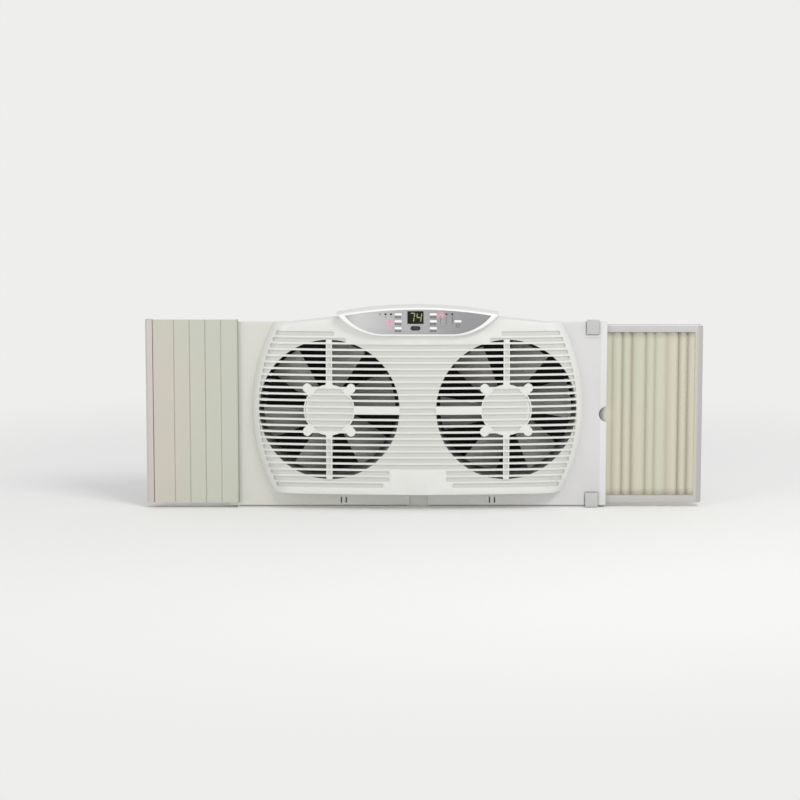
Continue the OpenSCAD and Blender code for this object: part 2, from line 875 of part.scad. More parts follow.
module at_fan(s, turn = 0) {
    translate([s * fan_x, 0, fan_z]) rotate([0, turn, 0]) children();
}

module ears() {
    for (x = [-lobe_at, lobe_at]) for (z = [-lobe_at, lobe_at]) translate([x, z]) children();
}

module motor_front_bell(s) color([0.6, 0.6, 0.62]) at_fan(s) {
    difference() {
        union() {
            rod(0, 0, motor_r, motor_y0, stack_y0);
            along_y(motor_y0, motor_y0 + bell_wall) difference() {
                union() {
                    ears() circle(ear_r);
                    for (a = [45, 135]) rotate(a) square([2 * lobe_at * sqrt(2), 12], center = true);
                }
                ears() circle(motor_screw_r + 0.2);
            }
        }
        rod(0, 0, motor_r - bell_wall, motor_y0 + bell_wall, stack_y0 + 1);
        rod(0, 0, bush_r, motor_y0 - 5, stack_y0);
    }
    difference() {
        rod(0, 0, bush_r + 2, motor_y0 - 2, motor_y0 + 6);
        rod(0, 0, bush_r, motor_y0 - 3, motor_y0 + 7);
    }
}

module motor_rear_bell(s) color([0.6, 0.6, 0.62]) at_fan(s) {
    difference() {
        rod(0, 0, motor_r, stack_y1, motor_y1);
        rod(0, 0, motor_r - bell_wall, stack_y1 - 1, motor_y1 - bell_wall);
        rod(0, 0, bush_r, stack_y1, motor_y1 + 1);
    }
    difference() {
        rod(0, 0, bush_r + 2, motor_y1 - 6, motor_y1 + 2);
        rod(0, 0, bush_r, motor_y1 - 7, motor_y1 + 3);
    }
}

module stator(s) color([0.45, 0.45, 0.47]) at_fan(s) {
    along_y(stack_y0, stack_y1) {
        difference() {
            circle(motor_r);
            circle(yoke_r);
        }
        difference() {
            for (a = [0, 90]) rotate(a) square([2 * yoke_r + 1, pole_w], center = true);
            circle(rotor_r + pole_gap);
        }
    }
}

module windings(s) color([0.72, 0.4, 0.2]) at_fan(s) {
    half = pole_w / 2;
    for (a = [0:90:270]) rotate([0, a, 0]) difference() {
        block([coil_r0, stack_y0 - coil_out, -half - 4], [coil_r1, stack_y1 + coil_out, half + 4]);
        block([0, stack_y0, -half], [coil_r1 + 1, stack_y1, half]);
    }
}

module bushes(s) color([0.75, 0.6, 0.35]) at_fan(s) {
    for (y = [motor_y0 - 2, motor_y1 - 6]) difference() {
        rod(0, 0, bush_r, y, y + bush_l);
        rod(0, 0, shaft_r + bearing_gap, y - 1, y + bush_l + 1);
    }
}

module motor_screws(s) color([0.5, 0.5, 0.52]) at_fan(s) {
    seat = motor_y0 + bell_wall;
    ears_at() {
        rod(0, 0, motor_screw_r, motor_y0 - post_bite, seat);
        rod(0, 0, 3.4, seat, seat + 2.2);
    }
}

module ears_at() {
    for (x = [-lobe_at, lobe_at]) for (z = [-lobe_at, lobe_at]) translate([x, 0, z]) children();
}

module rotor(s) color([0.5, 0.5, 0.52]) at_fan(s) {
    difference() {
        rod(0, 0, rotor_r, stack_y0 - 1, stack_y1 + 1);
        rod(0, 0, shaft_r, stack_y0 - 2, stack_y1 + 2);
    }
}

module fan_shaft(s) color([0.7, 0.7, 0.72]) at_fan(s) {
    rod(0, 0, shaft_r, motor_y0 - 2, shaft_y1);
}

// One blade's outline from the front: a near radial front edge and a wider root
module blade_outline() {
    steps = 8;
    r0 = cup_r - 1.5;
    r1 = impeller_r + 4;
    intersection() {
        circle(impeller_r, $fn = 128);
        polygon(concat(
            [for (i = [0:steps]) let(r = r0 + (r1 - r0) * i / steps)
                r * [cos(-blade_back), sin(-blade_back)]],
            [for (i = [steps:-1:0])
                let(f = i / steps, r = r0 + (r1 - r0) * f,
                    a = blade_front_root + (blade_front_tip - blade_front_root) * f)
                r * [cos(a), sin(a)]]
        ));
    }
}

// A cambered sheet that lies along X, pitched against the turning plane
module blade_sheet() {
    translate([0, impeller_y - blade_shift, 0]) rotate([90 - blade_tilt, 0, 0])
        translate([0, 0, -blade_camber_r]) rotate([0, 90, 0]) difference() {
            cylinder(r = blade_camber_r, h = impeller_r + 5, $fn = 160);
            translate([0, 0, -1])
                cylinder(r = blade_camber_r - blade_t, h = impeller_r + 8, $fn = 160);
        }
}

module impeller(s) color([0.55, 0.55, 0.56])
    at_fan(s, s > 0 ? -right_rest_angle : -left_rest_angle) {
    for (i = [0:blade_count - 1]) rotate([0, i * 360 / blade_count, 0]) intersection() {
        blade_sheet();
        along_y(impeller_y - 24, impeller_y + 24) blade_outline();
    }
    difference() {
        rod(0, 0, cup_r, cup_y0, cup_y1);
        rod(0, 0, cup_r - cup_wall, cup_y0 - 1, cup_web_y);
        rod(0, 0, cup_r - cup_wall, cup_web_y + cup_wall, cup_y1 + 1);
        rod(0, 0, shaft_r, cup_web_y - 1, cup_y1);
    }
    difference() {
        rod(0, 0, shaft_r + 4, cup_web_y + cup_wall, cup_y1);
        rod(0, 0, shaft_r, cup_web_y, cup_y1 + 1);
    }
}

module impeller_nut(s) color([0.5, 0.5, 0.52]) at_fan(s) {
    difference() {
        translate([0, cup_y1 + nut_l, 0]) rotate([90, 0, 0]) cylinder(r = nut_r, h = nut_l, $fn = 6);
        rod(0, 0, shaft_r, cup_y1 - 1, cup_y1 + nut_l + 1);
    }
}

// ---- Extenders ----

// A sideways U of two hollow rails and a stile, reaching to x = reach
module extender_frame(reach) {
    stile_in = reach - stile_w;
    difference() {
        along_y(rail_y0, rail_y1) difference() {
            intersection_for(s = [0, 1]) translate([0, s * (rail_z0 + rail_z1)]) mirror([0, s])
                translate([rail_in, rail_z0]) eased(reach - rail_in, rail_z1 - rail_z0, 4);
            translate([rail_in - 1, rail_z0 + rail_h])
                square([stile_in - rail_in + 1, rail_z1 - rail_z0 - 2 * rail_h]);
        }
        for (z = [rail_z0, rail_z1 - rail_h])
            block([rail_in - 1, rail_y0 + rail_wall, z + rail_wall],
                [stile_in, rail_y1 - rail_wall, z + rail_h - rail_wall]);
    }
}

module right_frame() color([0.79, 0.78, 0.76]) extender_frame(right_reach);

module left_frame() color([0.79, 0.78, 0.76]) mirror([1, 0, 0]) extender_frame(left_reach);

module right_curtain() color([0.79, 0.78, 0.7]) {
    half = pleat_w / 2;
    depth = rail_d - 4.4;
    shift = sheet_t * norm([half, depth]) / half;
    n = 2 * pleat_count;
    edge = [for (i = [0:n]) [curtain_x0 + i * half, rail_y0 + 1.2 + (i % 2) * (depth - shift + 1)]];
    translate([0, 0, rail_z0 + rail_h + curtain_gap])
        linear_extrude(rail_z1 - rail_z0 - 2 * rail_h - 2 * curtain_gap)
            polygon(concat(edge, [for (i = [n:-1:0]) edge[i] + [0, shift]]));
}

// The left curtain's slats, flat with grooves between, from the clamp to the cap
module left_curtain() color([0.8, 0.79, 0.74]) {
    x0 = clamp_x + clamp_w;
    w = (left_reach - cap_w - x0) / slat_count;
    g = slat_groove_w / 2;
    edge = concat([[x0, 0]],
        [for (i = [1:slat_count - 1])
            each [[x0 + i * w - g, 0], [x0 + i * w, slat_groove_d], [x0 + i * w + g, 0]]],
        [[left_reach - cap_w, 0]]);
    n = len(edge);
    mirror([1, 0, 0]) translate([0, skin_y, skin_z0]) linear_extrude(left_curtain_h)
        polygon(concat(edge, [for (i = [n - 1:-1:0]) edge[i] + [0, sheet_t]]));
}

module left_stile_cap() color([0.78, 0.76, 0.73]) {
    depth = rail_y0 - skin_y;
    mirror([1, 0, 0]) translate([left_reach - cap_w, rail_y0, skin_z0])
        linear_extrude(left_curtain_h) mirror([0, 1]) eased(cap_w, depth, cap_edge_r);
}

module left_curtain_clamp() color([0.8, 0.79, 0.74]) {
    block([-clamp_x - clamp_w, skin_y - 0.4, skin_z0], [-clamp_x, flange_y, skin_z1]);
}

// ---- Slide locks ----

module slide_lock(s) {
    z = lock_z(s);
    plate_y1 = flange_y - slide_gap;
    block([lock_x - lock_w / 2, plate_y1 - lock_t, z - lock_h / 2],
        [lock_x + lock_w / 2, plate_y1, z + lock_h / 2]);
    head_y = seam_y + curtain_gap;
    rod(lock_x, lock_pin_z(s), lock_pin_r, plate_y1 - 1, head_y + 1);
    rod(lock_x, lock_pin_z(s), lock_head_r, head_y, head_y + lock_head_t);
}

module lock_upper() color([0.79, 0.79, 0.79]) slide_lock(1);

module lock_lower() color([0.79, 0.79, 0.79]) slide_lock(-1);

front_shell();
rear_shell();
control_face();
display_lens();
ir_window();
indicator_leds();
button(0);  // button_left_top
button(1);  // button_left_mid
button(2);  // button_left_low
button(3);  // button_right_top
button(4);  // button_right_mid
button(5);  // button_right_low
button(6);  // button_power
control_board();
display_module();
tact_switches();
power_board();
transformer();
wiring_harness();
cord_grommet();
housing_screws();
motor_front_bell(-1);  // motor_front_bell_left
motor_rear_bell(-1);  // motor_rear_bell_left
stator(-1);  // stator_left
windings(-1);  // windings_left
bushes(-1);  // bushes_left
motor_screws(-1);  // motor_screws_left
rotor(-1);  // rotor_left
fan_shaft(-1);  // shaft_left
impeller(-1);  // impeller_left
impeller_nut(-1);  // impeller_nut_left
motor_front_bell(1);  // motor_front_bell_right
motor_rear_bell(1);  // motor_rear_bell_right
stator(1);  // stator_right
windings(1);  // windings_right
bushes(1);  // bushes_right
motor_screws(1);  // motor_screws_right
rotor(1);  // rotor_right
fan_shaft(1);  // shaft_right
impeller(1);  // impeller_right
impeller_nut(1);  // impeller_nut_right
right_frame();
right_curtain();
left_frame();
left_stile_cap();
left_curtain();
left_curtain_clamp();
lock_upper();
lock_lower();
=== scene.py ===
"""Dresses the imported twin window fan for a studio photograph. Metres, Z up, the room at -Y."""

import json
import math

import bmesh
import bpy
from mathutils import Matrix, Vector


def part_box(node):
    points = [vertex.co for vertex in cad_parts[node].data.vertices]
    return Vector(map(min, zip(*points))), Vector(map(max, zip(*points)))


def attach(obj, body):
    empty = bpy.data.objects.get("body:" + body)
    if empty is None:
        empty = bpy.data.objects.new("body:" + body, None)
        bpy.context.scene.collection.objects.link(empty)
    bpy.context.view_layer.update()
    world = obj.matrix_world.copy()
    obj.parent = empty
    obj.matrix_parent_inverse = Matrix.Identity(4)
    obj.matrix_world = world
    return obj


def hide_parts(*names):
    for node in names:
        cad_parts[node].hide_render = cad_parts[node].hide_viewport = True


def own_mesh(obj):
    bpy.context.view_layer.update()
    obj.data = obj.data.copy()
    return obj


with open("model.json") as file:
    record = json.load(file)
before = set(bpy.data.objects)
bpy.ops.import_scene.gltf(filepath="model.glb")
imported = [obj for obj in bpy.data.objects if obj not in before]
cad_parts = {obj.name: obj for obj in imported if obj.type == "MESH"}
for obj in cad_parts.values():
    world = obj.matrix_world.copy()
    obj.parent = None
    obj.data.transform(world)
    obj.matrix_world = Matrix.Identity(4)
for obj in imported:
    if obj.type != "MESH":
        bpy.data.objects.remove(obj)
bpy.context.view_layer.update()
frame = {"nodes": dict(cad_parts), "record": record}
NODES = frame["nodes"]

WELD = 0.000002  # points nearer than this are one
FLAT = math.radians(0.4)  # faces that meet at less are one
EASE_FROM = math.radians(32)  # edges that turn more are eased
SMOOTH_TO = math.radians(40)  # edges that turn less look smooth


# ---- Node trees ----


class Sock:
    """A node's output that adds its own maths nodes when it is used in an expression."""

    def __init__(self, owner, output):
        self.owner, self.output = owner, output

    def _math(self, kind, *args, **settings):
        return self.owner.node("ShaderNodeMath", {"operation": kind, **settings}, *args)

    def __add__(self, other):
        return self._math("ADD", self, other)

    def __radd__(self, other):
        return self._math("ADD", other, self)

    def __sub__(self, other):
        return self._math("SUBTRACT", self, other)

    def __rsub__(self, other):
        return self._math("SUBTRACT", other, self)

    def __mul__(self, other):
        return self._math("MULTIPLY", self, other)

    def __rmul__(self, other):
        return self._math("MULTIPLY", other, self)

    def __truediv__(self, other):
        return self._math("DIVIDE", self, other)

    def __pow__(self, other):
        return self._math("POWER", self, other)

    def __lt__(self, other):
        return self._math("LESS_THAN", self, other)

    def __gt__(self, other):
        return self._math("GREATER_THAN", self, other)

    def sin(self):
        return self._math("SINE", self)

    def cos(self):
        return self._math("COSINE", self)

    def abs(self):
        return self._math("ABSOLUTE", self)

    def fract(self):
        return self._math("FRACT", self)

    def clamp(self):
        return self._math("ADD", self, 0.0, use_clamp=True)

    def max(self, other):
        return self._math("MAXIMUM", self, other)

    def min(self, other):
        return self._math("MINIMUM", self, other)


class Nodes:
    """A node tree whose nodes are made and linked in one call."""

    def __init__(self, tree):
        self.tree = tree

    def put(self, socket, value):
        if isinstance(value, Sock):
            self.tree.links.new(value.output, socket)
        else:
            socket.default_value = value

    def node(self, kind, settings, *args, **named):
        """A new node's first output; args go to its first inputs, and named to those by name."""
        made = self.tree.nodes.new(kind)
        for key, value in settings.items():
            setattr(made, key, value)
        for i, value in enumerate(args):
            self.put(made.inputs[i], value)
        for key, value in named.items():
            self.put(made.inputs[key.replace("_", " ")], value)
        return Sock(self, made.outputs[0])

    def in_sight(self):
        """1 for rays that the camera sees, also by way of gloss or glass, and 0 for stray light."""
        rays = self.tree.nodes.new("ShaderNodeLightPath")
        camera, glossy, through = (
            Sock(self, rays.outputs["Is " + kind + " Ray"])
            for kind in ("Camera", "Glossy", "Transmission")
        )
        return (camera + glossy + through).clamp()


class Finish(Nodes):
    """A material in the making, with one Principled shader."""

    def __init__(self, name, color, rough, metallic=0.0, **fixed):
        self.mat = bpy.data.materials.new(name)
        self.mat.use_nodes = True
        super().__init__(self.mat.node_tree)
        self.shader = self.first("BSDF_PRINCIPLED")
        self.set("Base Color", (*color, 1.0))
        self.set("Roughness", rough)
        self.set("Metallic", metallic)
        for key, value in fixed.items():
            self.set(key.replace("_", " "), value)
        coords = self.tree.nodes.new("ShaderNodeTexCoord")
        self.place = Sock(self, coords.outputs["Object"])
        axes = self.tree.nodes.new("ShaderNodeSeparateXYZ")
        self.put(axes.inputs[0], self.place)
        self.x, self.y, self.z = (Sock(self, axes.outputs[i]) for i in range(3))

    def first(self, kind):
        return next(n for n in self.tree.nodes if n.type == kind)

    def set(self, socket, value):
        self.put(self.shader.inputs[socket], value)

    def noise(self, scale, detail=3.0, rough=0.5, stretch=(1, 1, 1)):
        spot = self.node("ShaderNodeMapping", {}, self.place, Scale=stretch)
        return self.node(
            "ShaderNodeTexNoise", {}, spot, Scale=scale, Detail=detail, Roughness=rough
        )

    def mix(self, factor, a, b):
        made = self.tree.nodes.new("ShaderNodeMix")
        made.data_type = "RGBA"
        self.put(made.inputs[0], factor)
        for i, value in ((6, a), (7, b)):  # the two colour inputs
            self.put(made.inputs[i], value if isinstance(value, Sock) else (*value, 1.0))
        return Sock(self, made.outputs[2])

    def steps(self, value, low, high):
        return self.node(
            "ShaderNodeMapRange", {"interpolation_type": "SMOOTHSTEP"}, value, low, high
        )

    def bump(self, height, distance):
        self.set("Normal", self.node("ShaderNodeBump", {}, 1.0, distance, Height=height))

    def drift(self, a, b):
        """A colour that changes slowly between two."""
        return self.mix(self.noise(6.0, 2.0), a, b)

    def moulded(self, rough, grain, fineness=900.0):
        """The skin of moulded plastic: spark-eroded grain and faint handling wear."""
        self.set("Roughness", rough + 0.1 * self.noise(35.0, 4.0, 0.6))
        self.bump(self.noise(fineness, 2.0, 0.6), grain)


def srgb(r, g, b):
    """A colour as the photograph's 0-255 values."""

    def lin(v):
        v /= 255
        return v / 12.92 if v <= 0.04045 else ((v + 0.055) / 1.055) ** 2.4

    return lin(r), lin(g), lin(b)


def shade(color, by):
    return tuple(min(1.0, c * by) for c in color)


# ---- Meshes ----


def edited(mesh, change):
    """The mesh after change has worked on its points, edges and faces."""
    bm = bmesh.new()
    bm.from_mesh(mesh)
    change(bm)
    bm.to_mesh(mesh)
    bm.free()
    return mesh


def outwards(bm):
    bmesh.ops.recalc_face_normals(bm, faces=bm.faces)


def built(build):
    """A new mesh of the faces that build makes, turned outwards."""

    def make(bm):
        build(bm)
        outwards(bm)

    return edited(bpy.data.meshes.new("built"), make)


def smooth_by_angle(mesh, angle=SMOOTH_TO):
    """Smooth shading with sharp edges where two faces meet at more than the angle."""

    def mark(bm):
        for f in bm.faces:
            f.smooth = True
        for e in bm.edges:
            e.smooth = len(e.link_faces) == 2 and e.calc_face_angle(0.0) < angle

    return edited(mesh, mark)


def finished(name, body, material, mesh):
    """A new piece at the origin that rides on a body."""
    mesh.name = name
    mesh.materials.clear()
    mesh.materials.append(material)
    obj = bpy.data.objects.new(name, mesh)
    bpy.context.scene.collection.objects.link(obj)
    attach(obj, body)
    return obj


def evaluated(obj):
    """The object's mesh with its modifiers applied; the object is removed."""
    graph = bpy.context.evaluated_depsgraph_get()
    result = bpy.data.meshes.new_from_object(obj.evaluated_get(graph))
    bpy.data.objects.remove(obj)
    return result


def carved(mesh, build):
    """The mesh less the closed shapes that build makes."""
    stock = bpy.data.objects.new("stock", mesh)
    cutter = bpy.data.objects.new("cutter", built(build))
    for obj in (stock, cutter):
        bpy.context.scene.collection.objects.link(obj)
    cut = stock.modifiers.new("cut", "BOOLEAN")
    cut.operation = "DIFFERENCE"
    cut.solver = "EXACT"
    cut.object = cutter
    result = evaluated(stock)
    bpy.data.objects.remove(cutter)
    return result


def weld(bm):
    bmesh.ops.remove_doubles(bm, verts=bm.verts, dist=WELD)


def ease(bm, width):
    """Rounds the edges that turn sharply."""
    sharp = [
        e for e in bm.edges if len(e.link_faces) == 2 and e.calc_face_angle(0.0) > EASE_FROM
    ]
    bmesh.ops.bevel(
        bm, geom=sharp, offset=width, offset_type="OFFSET", segments=2, profile=0.5,
        affect="EDGES", clamp_overlap=True,
    )


def body_of_node(node):
    for body, members in frame["record"]["behaviour"]["bodies"].items():
        if node in members:
            return body
    raise KeyError(node)


def eased_copy(node, material, width, reshape=None, cutters=None):
    """The node's own shape with its edges eased as moulding leaves them; it replaces the node.

    reshape moves the copy's points, and cutters builds what is carved out of it.
    """

    def clean(bm):
        weld(bm)
        bmesh.ops.dissolve_limit(
            bm, angle_limit=FLAT, verts=bm.verts, edges=bm.edges, delimit={"NORMAL"}
        )
        if reshape:
            for v in bm.verts:
                v.co = reshape(v.co)
        if not cutters:
            ease(bm, width)

    def ease_carved(bm):
        weld(bm)
        ease(bm, width)

    mesh = edited(NODES[node].data.copy(), clean)
    if cutters:
        mesh = edited(carved(mesh, cutters), ease_carved)
    obj = finished(node + "_finish", body_of_node(node), material, mesh)
    smooth_by_angle(mesh)
    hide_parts(node)


def paint(node, material):
    mesh = NODES[node].data
    mesh.materials.clear()
    mesh.materials.append(material)
    for p in mesh.polygons:
        p.material_index = 0


def span(bm, a, b):
    """Faces between two rows of points."""
    for i in range(len(a) - 1):
        bm.faces.new((a[i], a[i + 1], b[i + 1], b[i]))


def skin(bm, loops, hollow=False):
    """Faces from each loop of points to the next, then over both ends or back to the first."""
    for a, b in zip(loops, loops[1:] + loops[:1] if hollow else loops[1:]):
        span(bm, a + a[:1], b + b[:1])
    if not hollow:
        bm.faces.new(loops[0])
        bm.faces.new(loops[-1])


def turned(bm, spot, profile, count, hollow=False):
    """A shape turned about Y; profile gives its rings' radii and depths from the spot."""
    x, y, z = spot
    rings = [
        [
            bm.verts.new((x + r * math.cos(t), y + back, z + r * math.sin(t)))
            for t in (i * math.tau / count for i in range(count))
        ]
        for r, back in profile
    ]
    skin(bm, rings, hollow)


def block(bm, low, high):
    corners = [
        bm.verts.new((x, y, z))
        for x in (low[0], high[0]) for y in (low[1], high[1]) for z in (low[2], high[2])
    ]
    for f in ((0, 1, 3, 2), (4, 6, 7, 5), (0, 4, 5, 1), (2, 3, 7, 6), (0, 2, 6, 4), (1, 5, 7, 3)):
        bm.faces.new([corners[i] for i in f])


# ---- Places that the finishes and the finer shapes follow, as in the source ----


def middle(node):
    """The middle of a node's box, as X and Z."""
    low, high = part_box(node)
    return (low[0] + high[0]) / 2, (low[2] + high[2]) / 2


FLANGE_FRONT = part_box("left_curtain_clamp")[1][1]
REAR_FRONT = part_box("rear_shell")[0][1]
FACE_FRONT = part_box("control_face")[0][1]
GUARD_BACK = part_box("rear_shell")[1][1]
CAP_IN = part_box("left_stile_cap")[1][0]
rail_low, rail_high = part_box("right_frame")
pleat_low, pleat_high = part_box("right_curtain")
slat_low, slat_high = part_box("left_curtain")
lens_x, lens_z = middle("display_lens")
top_row_z = middle("button_left_top")[1]
mid_row_z = middle("button_left_mid")[1]
LIT_LIGHTS = ((lens_x + 0.0406, top_row_z), (lens_x - 0.042, mid_row_z - 0.001))

FAN_X, FAN_Z = 0.146, 0.169  # a fan's middle
OPENING_R, HUB_R = 0.116, 0.042  # its opening and its hub plate
LOBE_AT, LOBE_R = 0.036, 0.0075  # the hub plate's four lobes
PITCH, LAST_ROW = 0.0105, 12  # louvre rows, counted up and down from the fans' middle
SLOT_IN, SLOT = 0.0055, 0.0074  # a slot's height in the node, and as shown
LOUVRE_D = 0.007  # how deep the slots go
GROOVE_D = 0.0018  # how deep the blind grooves over plates and bars go
HUB_EDGE, BAR_W = 0.0018, 0.0064  # what they leave of a plate's edge, and how long a bar's are
ROW_START = {11: 0.118, 12: 0.137, -10: 0.0465, -11: 0.0465, -12: 0.057}  # others: the middle
CROWN_Y, CROWN_R = -0.0835, 1.85  # the crowned front's foremost depth, and its radius
SIDE_R, SIDE_SHIFT = 0.299, 0.024  # the body's round sides, and how far past X = 0 they centre
RIM = 0.012  # from the body's sides to where rows end
VISOR_RIM = -0.0852  # what lies before this is the visor's rim, which gets a painted highlight
CAP_OUT, CAP_W = -0.451, 0.012  # the left cap's outer side, and its width as shown
SKIN_H = 0.3065  # height of the left sheet, cap and clamp as shown
COVERED = 0.3102  # the flange shades the pleats up to this X
FLANGE_HIGHLIGHT_X, FLANGE_HIGHLIGHT_Z = 0.3035, 0.3102  # beyond these the flange gets a painted highlight along its right and top edges


def crown_at(x, z):
    """Depth of the crowned front, which falls away evenly from the middle of each half."""
    return CROWN_Y + ((abs(x) + SIDE_SHIFT) ** 2 + (z - FAN_Z) ** 2) / (2 * CROWN_R)


# ---- Finishes ----


def moulded(name, color, rough, grain=0.5, drift=0.03):
    """Injection-moulded plastic with a slow drift in tone."""
    f = Finish(name, color, rough)
    f.set("Base Color", f.drift(shade(color, 1 - drift), shade(color, 1 + drift)))
    f.moulded(rough - 0.05, 0.00006 * grain)
    return f.mat


def turned_metal(name, color, rough):
    """Turned or rolled metal with fine lines and a little tarnish."""
    f = Finish(name, color, rough, 1.0)
    marks = f.noise(700.0, 2.0, 0.5, (1, 0.04, 1))
    f.set("Base Color", f.mix(f.noise(18.0), shade(color, 0.85), shade(color, 1.08)))
    f.set("Roughness", rough - 0.06 + 0.14 * marks)
    f.bump(marks, 0.00003)
    return f.mat


def housing_finish():
    """Satin white styrene; painted shade in the grooves, painted highlights on the visor's rim and
    along the flange's top and right edges, and deeper in tone on the flange.
    """
    f = Finish("housing_plastic", srgb(228, 228, 225), 0.34)
    across = f.steps(f.x, -0.3, 0.26)
    flange = f.mix(across, srgb(213, 213, 205), srgb(213, 212, 212))
    # painted highlight along the flange's top and right edges
    lip = (f.z > FLANGE_HIGHLIGHT_Z).max(f.x > FLANGE_HIGHLIGHT_X)
    flange = f.mix(0.6 * lip, flange, srgb(226, 226, 225))
    body = f.drift(srgb(223, 223, 219), srgb(228, 228, 225))
    # painted highlight on the visor's rim
    body = f.mix(f.y < VISOR_RIM, body, srgb(243, 243, 242))
    side = f.x.abs() + SIDE_SHIFT
    rise = f.z - FAN_Z
    off_axis = side * side + rise * rise
    under = f.y - CROWN_Y - off_axis * (0.5 / CROWN_R)
    off_row = ((rise / PITCH + 0.5).fract() - 0.5).abs() * PITCH
    on_row = (off_row < SLOT / 2 + 0.0001) * (rise.abs() < (LAST_ROW + 0.4) * PITCH)
    inside = off_axis ** 0.5 < SIDE_R - RIM + 0.0004
    # painted shade: darker where the grooves and slot mouths sink under the crown
    groove = f.steps(under, 0.0007, 0.0014) * on_row * inside
    body = f.mix(groove, body, srgb(207, 207, 202))
    depth = f.steps(f.y, FLANGE_FRONT - 0.0022, FLANGE_FRONT - 0.0004)
    f.set("Base Color", f.mix(depth, body, flange))
    f.moulded(0.29, 0.00003)
    return f.mat


def rear_finish():
    """Plain white styrene, in shade in the pocket of the finger notch."""
    f = Finish("rear_plastic", srgb(208, 208, 204), 0.42)
    shown = (f.y < REAR_FRONT + 0.0024) * (f.x > 0.29) * (f.z > 0.14) * (f.z < 0.178)
    pocket = f.mix(f.steps(f.x, 0.3065, 0.3085), srgb(122, 122, 124), srgb(204, 204, 203))
    f.set("Base Color", f.mix(shown, f.drift(srgb(203, 203, 199), srgb(212, 212, 208)), pocket))
    f.moulded(0.37, 0.00005, 700.0)
    return f.mat


def right_frame_finish():
    """The frame's white, with the ivory lip of the sheet along the stile's inner edge, and a
    painted highlight along the top rail's front edge.
    """
    f = Finish("right_frame_plastic", srgb(206, 205, 203), 0.36)
    inner = pleat_high[0]
    lip = (f.x > inner - 0.0004) * (f.x < inner + 0.0030) * (f.z > 0.02) * (f.z < 0.292)
    upper = f.drift(srgb(193, 192, 192), srgb(199, 198, 198))
    base = f.mix(f.steps(f.z, 0.1, 0.2), srgb(193, 190, 186), upper)
    base = f.mix(f.steps(f.x, inner + 0.003, inner + 0.007), base, srgb(179, 177, 175))
    # painted highlight along the top rail's front edge
    edge = (f.z > rail_high[2] - 0.0010) * (f.y < rail_low[1] + 0.0015)
    base = f.mix(edge, base, srgb(226, 226, 226))
    f.set("Base Color", f.mix(lip, base, srgb(196, 194, 172)))
    f.moulded(0.31, 0.00003)
    return f.mat


def woven_screen():
    """Black woven insect screen: threads over and under, tight enough to look closed; its black and
    its closed weave are painted shade behind the blades.
    """
    f = Finish("woven_screen", srgb(30, 30, 31), 0.6)
    threads = 4200.0  # radians a metre
    weave = (f.x * threads).sin() * (f.z * threads).sin() * 0.5 + 0.5
    f.set("Base Color", f.mix(weave, srgb(14, 14, 15), srgb(46, 46, 47)))
    f.set("Roughness", 0.5 + 0.2 * weave)
    f.bump(weave, 0.00008)
    return f.mat


def enamelled_copper():
    """Copper wire in its varnish, wound in close turns."""
    f = Finish("enamelled_copper", srgb(168, 92, 48), 0.3, 0.85)
    turns = (f.z * 5200.0).sin() * 0.5 + 0.5
    f.set("Base Color", f.mix(turns, srgb(118, 58, 28), srgb(186, 108, 58)))
    f.bump(turns, 0.0001)
    return f.mat


def silver_face():
    """Silver-grey lacquer on the control face, with a painted highlight that makes it lighter at
    the left and a painted pink glow round the lit lights.
    """
    f = Finish("silver_face", srgb(166, 166, 168), 0.38)
    flakes = f.noise(2600.0, 1.0)
    # painted highlight: lighter towards the left end
    left = f.mix(f.steps(f.x, -0.115, -0.02), srgb(203, 203, 203), srgb(172, 172, 173))
    left = f.mix(f.steps(f.x, -0.127, -0.096), srgb(172, 172, 172), left)
    base = f.mix(f.steps(f.x, -0.03, 0.09), left, srgb(142, 141, 143))
    # painted pink glow of the lit lights on the face round them
    for x, z in LIT_LIGHTS:
        across, up = (f.x - x) * 0.72, f.z - (z - 0.0008)
        off = (across * across + up * up) ** 0.5
        base = f.mix(0.85 - 0.85 * f.steps(off, 0.0014, 0.0074), base, srgb(226, 160, 180))
    f.set("Base Color", f.mix(0.10 * flakes, base, srgb(220, 220, 224)))
    f.set("Roughness", 0.3 + 0.14 * flakes)
    f.bump(flakes, 0.00002)
    return f.mat


def vinyl(name, base, cool, warm, where, dip, painted_shade_color, ends, covered=None):
    """Ivory vinyl sheet: slow tints and a painted reflection tint, faint drawn streaks, painted
    shade in its folds and by its ends.

    where gives how warm the painted reflection tint is, dip the depths between which a fold gets
    painted shade in the colour given next, ends the Z near which it gets deeper painted shade, and
    covered the X up to which the flange shades it.
    """
    f = Finish(name, base, 0.4, Coat_Weight=0.08, Coat_Roughness=0.3)
    drift = f.noise(9.0, 2.0, 0.5, (1.6, 1, 0.5)) - 0.5
    streaks = f.noise(240.0, 3.0, 0.6, (1, 1, 0.02))
    # painted reflection tint, set by where, with a slow random drift on top
    color = f.mix((where(f) + 1.4 * drift).clamp(), cool, warm)
    color = f.mix(0.2 * streaks, color, base)
    # painted shade: darker in the deep folds and near both ends, under the rails
    painted_end_shade = 1.0 - f.steps((f.z - ends[0]).min(ends[1] - f.z), 0.0, 0.014)
    color = f.mix(f.steps(f.y, *dip), color, painted_shade_color)
    color = f.mix(0.7 * painted_end_shade, color, shade(painted_shade_color, 0.72))
    if covered is not None:
        behind = 1.0 - f.steps(f.x, covered - 0.001, covered + 0.001)
        color = f.mix(behind, color, srgb(186, 186, 187))
    f.set("Base Color", color)
    f.set("Roughness", 0.35 + 0.12 * streaks)
    f.bump(streaks, 0.00003)
    return f.mat


